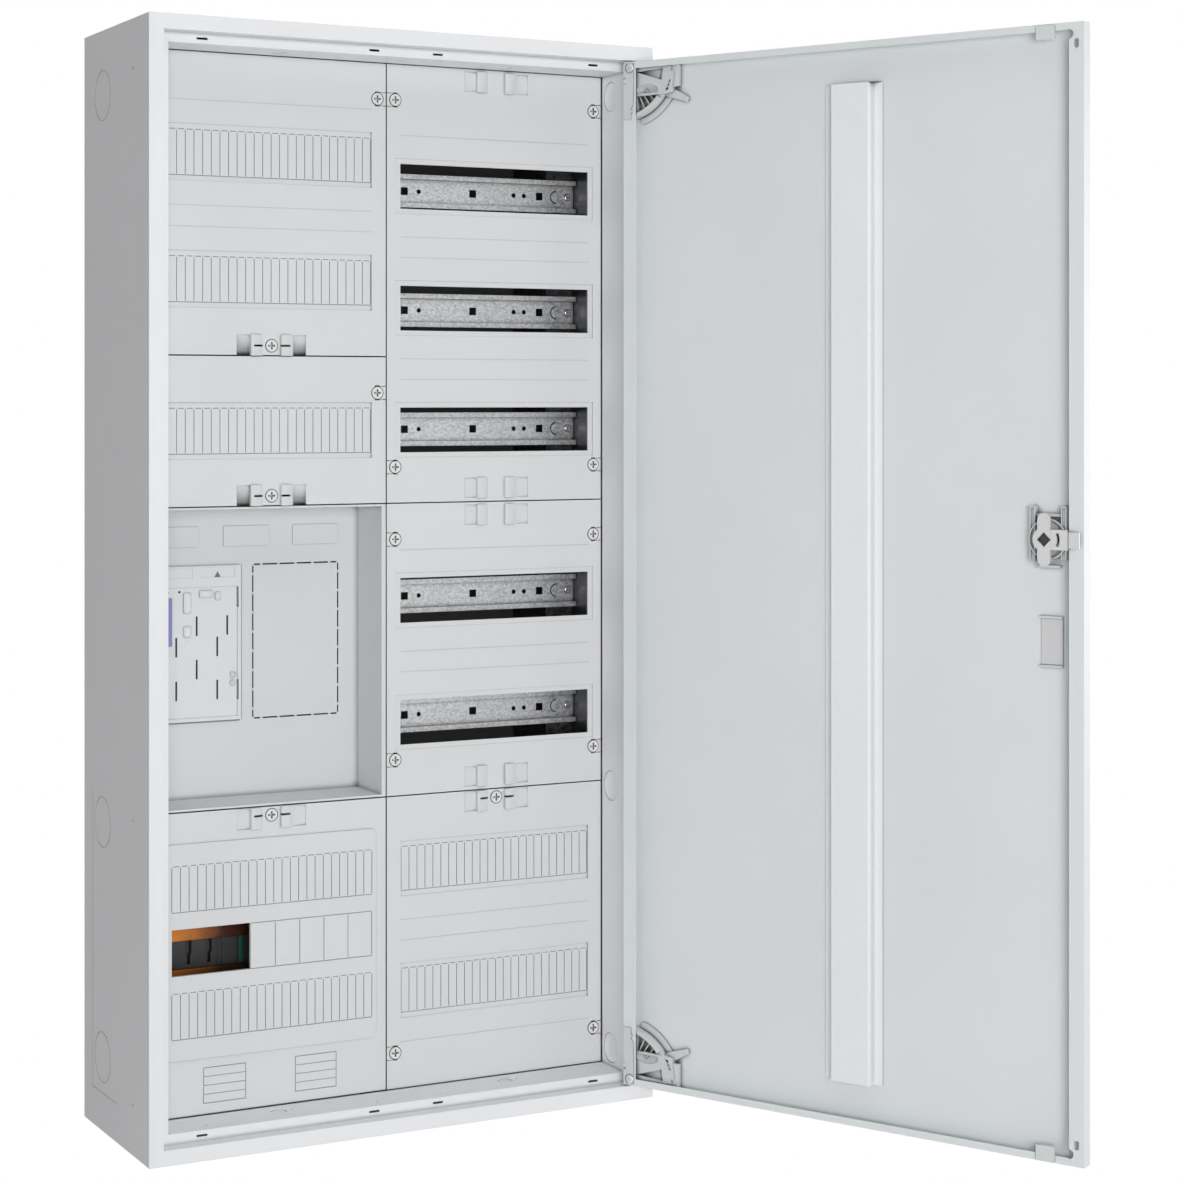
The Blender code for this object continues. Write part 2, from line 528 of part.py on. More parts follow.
def busbar_carrier(finish):
    """The insulating holder behind the busbars, with keyhole slots and a groove."""
    left = column_left(0) + COVER_GAP + FIN_T + GAP
    right = column_left(0) + COLUMN_W - FIN_T - GAP
    low, high = BUSBAR_Z - CARRIER_H / 2, BUSBAR_Z + CARRIER_H / 2
    shape = solid(add_box, (left, right), (depth(CARRIER_D), depth(LEFT_WEB_D - GAP)), (low, high))
    carrier = node("busbar_carrier", shape, finish)
    edge, top = column_left(0), BUSBAR_Z + KEYHOLE_H
    slots = bmesh.new()
    into = (depth(CARRIER_D - OVERCUT), depth(CARRIER_D + CARRIER_SLOT_D))
    for x in KEYHOLE_X:
        w, n = KEYHOLE_W / 2, KEYHOLE_NECK_W / 2
        half = [(w, top), (w, top - KEYHOLE_H), (n, top - KEYHOLE_H - (w - n)), (n, top - KEYHOLE_FULL_H)]
        outline = [(edge + x - out, z) for out, z in half]
        outline += [(edge + x + out, z) for out, z in reversed(half)]
        add_outline(slots, outline, "Y", *into)
    x = edge + CARRIER_GROOVE_X
    add_box(slots, (x - CARRIER_GROOVE_W / 2, x + CARRIER_GROOVE_W / 2),
            (into[0], depth(CARRIER_D + CARRIER_SLOT_D / 4)), (low - OVERCUT, high + OVERCUT))
    combine(carrier, slots, "DIFFERENCE", "slots")


def busbars(copper, green):
    left = column_left(0) + COVER_GAP + FIN_T + GAP
    right = column_left(0) + COLUMN_W - FIN_T - GAP
    for name, side in (("busbar_upper", 1), ("busbar_lower", -1)):
        z = BUSBAR_Z + side * (BUSBAR_SPAN / 2 + BUSBAR_H / 2)
        node(name, solid(add_box, (left, right), (depth(BUSBAR_D), depth(BUSBAR_D + BUSBAR_T)),
                         (z - BUSBAR_H / 2, z + BUSBAR_H / 2)), copper)
    x, half = column_left(0) + PE_LINK_X, BUSBAR_SPAN / 2 - GAP
    front = CARRIER_D - GAP - PE_LINK_T
    strip = solid(add_box, (x - PE_LINK_W / 2, x + PE_LINK_W / 2), (depth(front), depth(front + PE_LINK_T)),
                  (BUSBAR_Z - half, BUSBAR_Z + half))
    node("earth_link", strip, green)


# ---------------------------------------------------------------- door, modelled closed and then opened


def door_hinge():
    """The empty on the pin axis that the door's pieces hang on, turned to the open position."""
    hinge = bpy.data.objects.new("door_axis", None)
    hinge.location = PIVOT
    hinge.rotation_euler = (0.0, 0.0, math.radians(DOOR_OPEN_DEG))
    bpy.context.scene.collection.objects.link(hinge)
    return hinge


def hang(obj, hinge, at=(0.0, 0.0, 0.0)):
    """Parents a piece, modelled where it lies with the door closed, to the hinge axis."""
    place = Vector(at) - PIVOT
    obj.parent = hinge
    obj.location = place
    for modifier in obj.modifiers:
        modifier.object.parent = hinge
        modifier.object.location = place


def door_pan(hinge, finish):
    """The folded door: bent front edges, walls and the lips that look into the cabinet."""
    side, end = DOOR_LIP_SIDE, DOOR_LIP_END
    rear = DOOR_T - DOOR_SKIN
    left, right, low, high = -DOOR_W / 2, DOOR_W / 2, -DOOR_H / 2, DOOR_H / 2
    lip = (left + side, right - side, low + end, high - end)
    outside = [(0.0, DOOR_BEND), (0.3 * DOOR_BEND, 0.3 * DOOR_BEND), (DOOR_BEND, 0.0), (DOOR_T, 0.0)]
    inside = [(rear, DOOR_SKIN), (DOOR_SKIN + DOOR_FILLET, DOOR_SKIN), (DOOR_SKIN, DOOR_SKIN + DOOR_FILLET)]
    loops = [rectangle(DOOR_W, DOOR_H, d, inset) for d, inset in outside]
    loops += [(*lip, DOOR_T), (*lip, rear)]
    loops += [rectangle(DOOR_W, DOOR_H, d, inset) for d, inset in inside]
    pan = node("door_pan", solid(add_loft, loops), finish)
    holes = bmesh.new()
    add_disc(holes, (LATCH_X, depth(DOOR_SKIN / 2), LATCH_Z), LATCH_BORE_R, 4 * DOOR_SKIN)
    for way in (-1, 1):
        add_disc(holes, (PIVOT.x, PIVOT.y, way * high), PIN_R + PIN_CLEAR, 4 * DOOR_SKIN, "Z", 16)
    combine(pan, holes, "DIFFERENCE", "holes")
    hang(pan, hinge)


def hinge_corner(name, end, hinge, finish):
    """The block that holds the pin, with its plate under the skin and a quarter-round gusset."""
    high = DOOR_H / 2 - DOOR_SKIN - GAP
    right = DOOR_W / 2 - DOOR_SKIN - GAP
    near, far = DOOR_SKIN + GAP, DOOR_T - DOOR_SKIN - GAP
    high, right = high - DOOR_FILLET, right - DOOR_FILLET
    wall = sorted((end * high, end * (high - HINGE_BLOCK)))
    shape = solid(add_box, (right - HINGE_BLOCK, right), (depth(near), depth(far)), wall)
    corner = node(name, shape, finish)
    turns = [math.radians(90 * i / 8) for i in range(9)]
    spot = (right - GAP, end * (high - GAP))
    sector = [spot] + [(spot[0] - HINGE_SECTOR_R * math.cos(a), spot[1] - end * HINGE_SECTOR_R * math.sin(a))
                       for a in turns]
    gusset = bmesh.new()
    add_outline(gusset, sector, "Y", depth(near), depth(near + HINGE_SECTOR_T))
    combine(corner, gusset, "UNION", "gusset")
    bore = solid(add_disc, (PIVOT.x, PIVOT.y, end * high), PIN_R + PIN_CLEAR, 3 * HINGE_BLOCK, "Z", 16)
    combine(corner, bore, "DIFFERENCE", "bore")
    hang(corner, hinge)


def hinge_pin(name, end, hinge, finish):
    low = DOOR_H / 2 - DOOR_SKIN - HINGE_BLOCK
    high = HEIGHT / 2 - FLANGE_W + FRAME_T + GAP + BEARING_H / 2 - PIN_CLEAR
    shape = solid(add_disc, (PIVOT.x, PIVOT.y, end * (low + high) / 2), PIN_R, high - low, "Z", 16)
    hang(node(name, shape, finish), hinge)


def door_stiffener(hinge, finish):
    """Top-hat bar along the inside of the skin."""
    x, half = DOOR_W / 2 - STIFFENER_FROM_HINGE, DOOR_H / 2 - STIFFENER_SHORT
    foot, t = DOOR_SKIN + GAP, STIFFENER_T
    w, n, h = STIFFENER_W / 2, STIFFENER_TOP_W / 2, STIFFENER_H
    steps = [(-w, 0), (-n + t, 0), (-n + t, h - t), (n - t, h - t), (n - t, 0), (w, 0),
             (w, t), (n, t), (n, h), (-n, h), (-n, t), (-w, t)]
    outline = [(x + step, depth(foot + up)) for step, up in steps]
    hang(node("door_stiffener", solid(add_outline, outline, "Z", -half, half), finish), hinge)


def latch_housing(hinge, finish):
    """The plate and round seat that the latch turns in."""
    foot = DOOR_SKIN + GAP
    half_w, half_h = LATCH_PLATE_W / 2, LATCH_PLATE_H / 2
    plate = solid(add_box, (LATCH_X - half_w, LATCH_X + half_w), (depth(foot), depth(foot + LATCH_PLATE_T)),
                  (LATCH_Z - half_h, LATCH_Z + half_h))
    housing = node("latch_housing", plate, finish)
    top = CAM_D - GAP
    start = foot + LATCH_PLATE_T / 2
    base = solid(add_disc, (LATCH_X, depth((start + top) / 2), LATCH_Z), LATCH_BASE_R, top - start)
    combine(housing, base, "UNION", "base")
    bore = solid(add_disc, (LATCH_X, depth(DOOR_T / 2), LATCH_Z), LATCH_BORE_R, 3 * DOOR_T)
    combine(housing, bore, "DIFFERENCE", "bore")
    hang(housing, hinge)


def latch_barrel(hinge, finish):
    """The round insert that is turned from outside."""
    axis = (LATCH_X, 0.0, LATCH_Z)
    head_back = -GAP
    shape = solid(add_disc, (0, depth(head_back - LATCH_HEAD_T / 2), 0), LATCH_HEAD_R, LATCH_HEAD_T)
    barrel = node("latch_barrel", shape, finish)
    end = CAM_D - GAP
    start = head_back - LATCH_HEAD_T / 2
    shank = solid(add_disc, (0, depth((start + end) / 2), 0), LATCH_BORE_R - LATCH_CLEAR, end - start)
    combine(barrel, shank, "UNION", "shank")
    half_w, half_l = KEY_SLOT_W / 2, KEY_SLOT_L / 2
    deep = (depth(head_back - 2 * LATCH_HEAD_T), depth(head_back + KEY_SLOT_D))
    slot = solid(add_box, (-half_w, half_w), deep, (-half_l, half_l))
    combine(barrel, slot, "DIFFERENCE", "key_slot")
    hang(barrel, hinge, axis)


def latch_cam(hinge, finish):
    """Lever, hub with a square socket and the stepped tongue that grips behind the cabinet's lip."""
    axis = (LATCH_X, 0.0, LATCH_Z)
    y = (depth(CAM_D), depth(CAM_D + CAM_T))
    half = CAM_LEVER_L / 2
    cam = node("latch_cam", solid(add_box, (-CAM_LEVER_W / 2, CAM_LEVER_W / 2), y, (-half, half)), finish)
    hub_t = CAM_T + CAM_HUB_PROUD
    hub = solid(add_disc, (0, depth(CAM_D + hub_t / 2), 0), CAM_HUB_R, hub_t)
    combine(cam, hub, "UNION", "hub")
    root, step = TONGUE_ROOT, CAM_LEVER_W / 2 + TONGUE_ROOT
    foot, rise, bend = depth(CAM_D + GAP), depth(CAM_D + TONGUE_LIFT), TONGUE_T / 2
    profile = [(-root, foot), (-step, foot), (-step - TONGUE_RAMP, rise), (-TONGUE_L, rise),
               (-TONGUE_L, rise + TONGUE_T), (-step - TONGUE_RAMP - bend, rise + TONGUE_T),
               (-step - bend, foot + TONGUE_T), (-root, foot + TONGUE_T)]
    tongue = solid(add_outline, profile, "Z", -TONGUE_W / 2, TONGUE_W / 2)
    combine(cam, tongue, "UNION", "tongue")
    s = SOCKET / 2
    socket = bmesh.new()
    add_box(socket, (-s, s), (depth(CAM_D - OVERCUT), depth(CAM_D + 2 * CAM_T)), (-s, s))
    turn = Matrix.Rotation(math.radians(45), 3, "Y")
    bmesh.ops.rotate(socket, verts=socket.verts, cent=(0, 0, 0), matrix=turn)
    combine(cam, socket, "DIFFERENCE", "socket")
    hang(cam, hinge, axis)


def label_holder(hinge, finish):
    foot = DOOR_SKIN + GAP
    x, half = (LATCH_X - LABEL_W / 2, LATCH_X + LABEL_W / 2), LABEL_H / 2
    z = LATCH_Z - LABEL_BELOW - half
    body = solid(add_box, x, (depth(foot), depth(foot + LABEL_T)), (z - half, z + half))
    holder = node("label_holder", body, finish)
    rim = LABEL_RIM
    pocket = solid(add_box, (x[0] + rim, x[1] - rim), (depth(foot + LABEL_T / 2), depth(foot + 2 * LABEL_T)),
                   (z - half + rim, z + half - rim))
    combine(holder, pocket, "DIFFERENCE", "pocket")
    hang(holder, hinge)


def door_buffer(name, end, hinge, finish):
    """Soft stop clipped on the door's end lip."""
    near = DOOR_T + GAP
    x = -DOOR_W / 2 + BUFFER_IN
    edge = DOOR_H / 2 - DOOR_SKIN
    z = sorted((end * edge, end * (edge - BUFFER_W)))
    shape = solid(add_box, (x - BUFFER_L / 2, x + BUFFER_L / 2), (depth(near), depth(near + BUFFER_T)), z)
    hang(node(name, shape, finish), hinge)


# ---------------------------------------------------------------- assembly


def main():
    clear_scene()
    steel = material("coated_steel", (0.80, 0.80, 0.80), 0.45)
    steel_frame = material("coated_frame", (0.82, 0.82, 0.82), 0.42)
    zinc = material("galvanised_steel", (0.55, 0.56, 0.57), 0.40, 0.9)
    dark_zinc = material("upright_zinc", (0.42, 0.43, 0.44), 0.45, 0.9)
    plastic = material("cover_plastic", (0.66, 0.67, 0.68), 0.50)
    tray = material("tray_plastic", (0.58, 0.59, 0.60), 0.55)
    grey = material("carrier_plastic", (0.24, 0.24, 0.25), 0.5)
    copper = material("busbar_copper", (0.85, 0.40, 0.12), 0.35, 0.6)
    green = material("earth_green", (0.05, 0.45, 0.30), 0.5)
    lilac = material("slider_plastic", (0.38, 0.38, 0.55), 0.45)
    screw = material("lock_plastic", (0.72, 0.73, 0.74), 0.40)
    door_coat = material("coated_door", (0.74, 0.76, 0.77), 0.42)
    metal = material("latch_metal", (0.62, 0.62, 0.63), 0.35, 0.8)
    nylon = material("hinge_nylon", (0.70, 0.71, 0.71), 0.5)
    clear = material("label_plastic", (0.72, 0.72, 0.74), 0.3)
    rubber = material("buffer_rubber", (0.50, 0.50, 0.51), 0.7)

    enclosure_shell(steel)
    front_frame(steel_frame)
    uprights(dark_zinc)
    rails = 0
    for _, column, row, _, windows, first_up, _ in COVERS:
        for _, z in window_places(column, row, windows, first_up):
            rails += 1
            din_rail(f"din_rail_{rails}", z, zinc)
    for entry in COVERS:
        cover(*entry, plastic)
    cover_locks(screw)
    meter_tray(tray)
    meter_adapter(tray)
    adapter_slider(lilac)
    busbar_carrier(grey)
    busbars(copper, green)

    hinge = door_hinge()
    door_pan(hinge, door_coat)
    door_stiffener(hinge, door_coat)
    latch_housing(hinge, nylon)
    latch_barrel(hinge, metal)
    latch_cam(hinge, metal)
    label_holder(hinge, clear)
    for word, end in (("top", 1), ("bottom", -1)):
        cable_plate(f"cable_plate_{word}", end, steel)
        pin_bearing(f"pin_bearing_{word}", end, metal)
        hinge_corner(f"hinge_corner_{word}", end, hinge, nylon)
        hinge_pin(f"hinge_pin_{word}", end, hinge, metal)
        door_buffer(f"door_buffer_{word}", end, hinge, rubber)


main()
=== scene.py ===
"""Residential load centre: painted steel cabinet, moulded covers, meter place, rails and a hinged door.

Metres, in the frame of the CAD: +Z up, the front looks towards -Y. MM turns millimetres into metres.
The door's pieces are modelled where they lie with the door shut and then swung to where it stands open.
"""

import json
import math

import bpy
from mathutils import Matrix, Vector


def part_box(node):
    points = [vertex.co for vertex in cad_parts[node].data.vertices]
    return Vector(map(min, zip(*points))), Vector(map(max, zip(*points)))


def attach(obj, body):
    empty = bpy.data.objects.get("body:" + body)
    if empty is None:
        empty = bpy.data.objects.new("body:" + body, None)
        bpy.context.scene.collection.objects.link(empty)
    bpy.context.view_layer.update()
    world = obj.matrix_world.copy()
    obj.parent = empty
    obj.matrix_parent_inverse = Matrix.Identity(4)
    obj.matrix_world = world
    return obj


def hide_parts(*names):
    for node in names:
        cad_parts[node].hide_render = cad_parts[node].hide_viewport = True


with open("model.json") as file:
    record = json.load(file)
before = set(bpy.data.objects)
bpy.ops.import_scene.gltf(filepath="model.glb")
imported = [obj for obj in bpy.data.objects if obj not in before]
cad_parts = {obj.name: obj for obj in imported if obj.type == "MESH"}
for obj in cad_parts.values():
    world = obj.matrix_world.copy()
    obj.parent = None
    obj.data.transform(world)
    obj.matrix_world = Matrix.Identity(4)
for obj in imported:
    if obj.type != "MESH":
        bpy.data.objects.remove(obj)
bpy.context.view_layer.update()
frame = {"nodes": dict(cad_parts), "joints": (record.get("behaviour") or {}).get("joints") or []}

MM = 0.001

# ---------- places taken from the frame

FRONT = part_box("front_frame")[0].y
COVER_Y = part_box("cover_left_top")[0].y
SHELL_LOW, SHELL_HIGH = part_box("enclosure_shell")
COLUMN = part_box("cover_left_top")[1].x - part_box("cover_left_top")[0].x + 1.2 * MM
COVER_EDGE = 0.6 * MM  # a cover's edge stands this far inside its column and row
SWING = next(joint for joint in frame["joints"] if joint["name"] == "door_swing")
PIVOT = Vector((SWING["pos_m"][0], SWING["pos_m"][1], 0.0))
OPEN = math.radians(-SWING["range_deg"][0])

# ---------- workshop tools


def deselect():
    bpy.ops.object.select_all(action="DESELECT")


def take(piece):
    deselect()
    piece.select_set(True)
    bpy.context.view_layer.objects.active = piece


def settle(piece):
    """The object's place goes into its mesh."""
    take(piece)
    bpy.ops.object.transform_apply(location=True, rotation=True, scale=True)
    return piece


def edit(piece, wanted, *steps):
    """Runs operators in edit mode on the faces that the test picks."""
    take(piece)
    bpy.ops.object.mode_set(mode="EDIT")
    bpy.ops.mesh.select_mode(type="FACE")
    bpy.ops.mesh.select_all(action="DESELECT")
    bpy.ops.object.mode_set(mode="OBJECT")
    for face in piece.data.polygons:
        face.select = wanted(face)
    bpy.ops.object.mode_set(mode="EDIT")
    for operator, settings in steps:
        operator(**settings)
    bpy.ops.object.mode_set(mode="OBJECT")
    return piece


def every(face):
    return True


def block(x, y, z):
    """A block between pairs of X, Y and Z."""
    low, high = Vector((min(x), min(y), min(z))), Vector((max(x), max(y), max(z)))
    deselect()
    bpy.ops.mesh.primitive_cube_add(size=1.0, location=(low + high) / 2, scale=high - low)
    return settle(bpy.context.object)


def rod(centre, radius, length, axis="Y", sides=32):
    """A round bar about a centre."""
    turn = {"X": (0.0, math.pi / 2, 0.0), "Y": (math.pi / 2, 0.0, 0.0), "Z": (0.0, 0.0, 0.0)}[axis]
    deselect()
    bpy.ops.mesh.primitive_cylinder_add(vertices=sides, radius=radius, depth=length, location=centre,
                                        rotation=turn)
    return settle(bpy.context.object)


def ball(centre, size, rings=12):
    deselect()
    bpy.ops.mesh.primitive_uv_sphere_add(segments=2 * rings, ring_count=rings, radius=0.5, location=centre,
                                         scale=size)
    return settle(bpy.context.object)


def around(middle, half):
    """The two ends of a length about its middle."""
    return middle - half, middle + half


def slab(outline, axis, start, end):
    """A flat outline, given in the two other axes, extruded along an axis."""
    deselect()
    bpy.ops.mesh.primitive_circle_add(vertices=len(outline), radius=1.0, fill_type="NGON")
    piece = bpy.context.object
    along = "XYZ".index(axis)
    for vert, pair in zip(piece.data.vertices, outline):
        spot = list(pair)
        spot.insert(along, start)
        vert.co = spot
    move = [0.0, 0.0, 0.0]
    move[along] = end - start
    edit(piece, every, (bpy.ops.mesh.extrude_region_move, {"TRANSFORM_OT_translate": {"value": move}}),
         (bpy.ops.mesh.select_all, {"action": "SELECT"}),
         (bpy.ops.mesh.normals_make_consistent, {"inside": False}))
    return piece


def arc(centre, radius, start, end, steps=12):
    """Points along an arc, in degrees."""
    turns = [math.radians(start + (end - start) * i / steps) for i in range(steps + 1)]
    return [(centre[0] + radius * math.cos(a), centre[1] + radius * math.sin(a)) for a in turns]


def modified(piece, kind, **settings):
    take(piece)
    modifier = piece.modifiers.new(kind.lower(), kind)
    for name, value in settings.items():
        setattr(modifier, name, value)
    bpy.ops.object.modifier_apply(modifier=modifier.name)
    return piece


def joined(pieces):
    take(pieces[0])
    for piece in pieces[1:]:
        piece.select_set(True)
    if len(pieces) > 1:
        bpy.ops.object.join()
    return pieces[0]


def worked(piece, tools, operation):
    """A Boolean with tools that don't overlap each other."""
    tool = joined(tools)
    modified(piece, "BOOLEAN", operation=operation, solver="EXACT", object=tool)
    bpy.data.objects.remove(tool, do_unlink=True)
    return piece


def cut(piece, tools):
    return worked(piece, tools, "DIFFERENCE")


def welded(piece, tools):
    return worked(piece, tools, "UNION")


def soften(piece, width, segments=2):
    """Rounds the edges between faces that meet at an angle."""
    return modified(piece, "BEVEL", width=width, segments=segments, limit_method="ANGLE",
                    angle_limit=math.radians(35), use_clamp_overlap=True)


def round_groove(centre, outer, inner, deep, axis, sides):
    """A ring that cuts this deep into the face on which its centre lies."""
    return cut(rod(centre, outer, 2 * deep, axis, sides), [rod(centre, inner, 4 * deep, axis, sides)])


def from_cad(node):
    """A copy of a CAD node, its triangles joined back into whole faces."""
    piece = bpy.data.objects.new(node, frame["nodes"][node].data.copy())
    bpy.context.scene.collection.objects.link(piece)
    piece.data.materials.clear()
    return edit(piece, every, (bpy.ops.mesh.remove_doubles, {"threshold": 0.01 * MM}),
                (bpy.ops.mesh.dissolve_limited, {"angle_limit": math.radians(0.5)}))


def done(piece, name, finish, body, slot, *nodes):
    """Name, smooth shading between sharp edges, finish, body and the CAD nodes that it stands for."""
    take(piece)
    bpy.ops.object.shade_smooth_by_angle(angle=math.radians(32))
    modified(piece, "WEIGHTED_NORMAL", mode="FACE_AREA", weight=90, keep_sharp=True)
    piece.name = name
    piece.data.name = name
    piece.data.materials.clear()
    piece.data.materials.append(finish)
    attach(piece, body)
    if nodes:
        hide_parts(*nodes)
    return piece


def swung(piece, angle=OPEN):
    """Turns a piece about the door's pins."""
    turn = Matrix.Translation(PIVOT) @ Matrix.Rotation(angle, 4, "Z") @ Matrix.Translation(-PIVOT)
    piece.matrix_world = turn
    return settle(piece)


def shut(node):
    """A copy of a CAD node of the door, swung to where it lies with the door shut."""
    return swung(from_cad(node), -OPEN)


def box_of(piece):
    spots = [vert.co for vert in piece.data.vertices]
    return (Vector([min(spot[i] for spot in spots) for i in range(3)]),
            Vector([max(spot[i] for spot in spots) for i in range(3)]))


def shut_box(node):
    """The lowest and highest corners of a CAD node of the door where it lies with the door shut."""
    piece = shut(node)
    corners = box_of(piece)
    bpy.data.objects.remove(piece, do_unlink=True)
    return corners


def centre_of(node):
    """X and Z of the middle of a CAD node."""
    low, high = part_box(node)
    return (low.x + high.x) / 2, (low.z + high.z) / 2


# ---------- finishes

TONE_INPUT, SHADE_INPUT, TONE_OUTPUT = 6, 7, 2  # the colour sockets of a Mix node


def finish_named(name):
    made = bpy.data.materials.new(name)
    made.use_nodes = True
    return made, made.node_tree.nodes, made.node_tree.links, made.node_tree.nodes["Principled BSDF"]


def noise(nodes, links, source, size, detail=2.0):
    texture = nodes.new("ShaderNodeTexNoise")
    texture.inputs["Scale"].default_value = 1.0 / size
    texture.inputs["Detail"].default_value = detail
    links.new(source, texture.inputs["Vector"])
    return texture.outputs["Fac"]


def between(nodes, links, factor, low, high, start=0.35, end=0.65):
    """A value or a colour that runs from low to high as the factor does."""
    ramp = nodes.new("ShaderNodeValToRGB")
    stops = ramp.color_ramp.elements
    for stop, place, value in ((stops[0], start, low), (stops[1], end, high)):
        stop.position = place
        stop.color = (*value, 1.0) if isinstance(value, tuple) else (value, value, value, 1.0)
    links.new(factor, ramp.inputs["Fac"])
    return ramp.outputs["Color"]


def bumped(nodes, links, height, shader, strength, depth):
    bump = nodes.new("ShaderNodeBump")
    bump.inputs["Strength"].default_value = strength
    bump.inputs["Distance"].default_value = depth
    links.new(height, bump.inputs["Height"])
    links.new(bump.outputs["Normal"], shader.inputs["Normal"])


def painted_hollow_shade(nodes, links, colour, reach, depth):
    """Painted shade: darkens a colour where faces meet in a hollow, where shade falls."""
    hollow = nodes.new("ShaderNodeAmbientOcclusion")
    hollow.samples = 6
    hollow.inputs["Distance"].default_value = reach
    shade = between(nodes, links, hollow.outputs["AO"], depth, 1.0, 0.25, 0.80)
    mixed = nodes.new("ShaderNodeMix")
    mixed.data_type = "RGBA"
    mixed.blend_type = "MULTIPLY"
    mixed.inputs[0].default_value = 1.0
    links.new(colour, mixed.inputs[TONE_INPUT])
    links.new(shade, mixed.inputs[SHADE_INPUT])
    return mixed.outputs[TONE_OUTPUT]


def coated(name, colour, roughness=0.42, drift=0.03, grain=0.9 * MM, relief=0.10, metallic=0.0,
           reach=4 * MM, depth=0.22):
    """Paint or moulded plastic: a slow drift of the tone, a fine grain in gloss and relief, and painted shade
    in hollows, out to reach and down to depth.
    """
    made, nodes, links, shader = finish_named(name)
    place = nodes.new("ShaderNodeTexCoord").outputs["Object"]
    slow = noise(nodes, links, place, 0.16, 3.0)
    fine = noise(nodes, links, place, grain, 2.0)
    dark = tuple(channel * (1.0 - drift) for channel in colour)
    light = tuple(min(1.0, channel * (1.0 + drift)) for channel in colour)
    tone = between(nodes, links, slow, dark, light, 0.30, 0.70)
    # painted shade: the tone darkens in hollows and corners
    links.new(painted_hollow_shade(nodes, links, tone, reach, depth), shader.inputs["Base Color"])
    links.new(between(nodes, links, fine, roughness * 0.88, roughness * 1.12), shader.inputs["Roughness"])
    shader.inputs["Metallic"].default_value = metallic
    bumped(nodes, links, fine, shader, relief, 0.08 * MM)
    return made


def galvanised(name, dark, light, roughness=0.36, crystal=4.5 * MM):
    """Zinc with its crystals, drawn out a little along the rolling direction, and painted shade in its hollows.
    """
    made, nodes, links, shader = finish_named(name)
    place = nodes.new("ShaderNodeTexCoord").outputs["Object"]
    stretch = nodes.new("ShaderNodeMapping")
    stretch.inputs["Scale"].default_value = (0.7, 1.0, 1.0)
    links.new(place, stretch.inputs["Vector"])
    crystals = nodes.new("ShaderNodeTexVoronoi")
    crystals.inputs["Scale"].default_value = 1.0 / crystal
    links.new(stretch.outputs["Vector"], crystals.inputs["Vector"])
    tone = nodes.new("ShaderNodeSeparateColor")
    links.new(crystals.outputs["Color"], tone.inputs["Color"])
    cloud = noise(nodes, links, stretch.outputs["Vector"], 2.2 * MM, 4.0)
    blend = nodes.new("ShaderNodeMath")
    blend.operation = "MULTIPLY_ADD"
    blend.inputs[1].default_value = 0.35
    links.new(tone.outputs["Red"], blend.inputs[0])
    links.new(cloud, blend.inputs[2])
    zinc = between(nodes, links, blend.outputs[0], dark, light, 0.40, 0.85)
    # painted shade: the zinc darkens in hollows and corners
    links.new(painted_hollow_shade(nodes, links, zinc, 7 * MM, 0.12), shader.inputs["Base Color"])
    links.new(between(nodes, links, blend.outputs[0], roughness * 0.8, roughness * 1.3, 0.4, 0.9),
              shader.inputs["Roughness"])
    shader.inputs["Metallic"].default_value = 0.85
    bumped(nodes, links, cloud, shader, 0.12, 0.06 * MM)
    return made


def shaded_copper(name, bright, shaded_tone):
    """Copper with stains, bright at its left end and darker to near black towards the right: painted shade
    inside the cabinet.
    """
    made, nodes, links, shader = finish_named(name)
    place = nodes.new("ShaderNodeTexCoord").outputs["Object"]
    split = nodes.new("ShaderNodeSeparateXYZ")
    links.new(place, split.inputs["Vector"])
    low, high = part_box("busbar_upper")
    # painted shade: from 20 to 100 mm along the bar the copper falls to the shaded tone
    along = nodes.new("ShaderNodeMapRange")
    along.inputs["From Min"].default_value = low.x + 20 * MM
    along.inputs["From Max"].default_value = low.x + 100 * MM
    links.new(split.outputs["X"], along.inputs["Value"])
    stain = noise(nodes, links, place, 12 * MM, 4.0)
    mixed = nodes.new("ShaderNodeMath")
    mixed.operation = "MULTIPLY_ADD"
    mixed.inputs[1].default_value = 0.35
    links.new(stain, mixed.inputs[0])
    links.new(along.outputs["Result"], mixed.inputs[2])
    links.new(between(nodes, links, mixed.outputs[0], bright, shaded_tone, 0.2, 1.0), shader.inputs["Base Color"])
    links.new(between(nodes, links, stain, 0.28, 0.42), shader.inputs["Roughness"])
    shader.inputs["Metallic"].default_value = 0.35
    bumped(nodes, links, stain, shader, 0.08, 0.05 * MM)
    return made


PAINT = coated("cabinet_paint", (0.76, 0.76, 0.77), 0.40, 0.015, 1.1 * MM, 0.12)
# painted light: the shell's paint made lighter as a lit copy for the front frame
LIT_FRAME_PAINT = coated("frame_paint_lit", (0.83, 0.835, 0.85), 0.38, 0.012, 1.1 * MM, 0.12, reach=6 * MM)
# painted shade: a near-black finish that stands for the shade inside the cabinet
INNER_SHADE = coated("inner_wall_painted_shade", (0.05, 0.05, 0.052), 0.55, 0.03, 1.1 * MM, 0.12)
DOOR_PAINT = coated("door_paint", (0.765, 0.795, 0.80), 0.36, 0.015, 1.1 * MM, 0.12, reach=7 * MM)
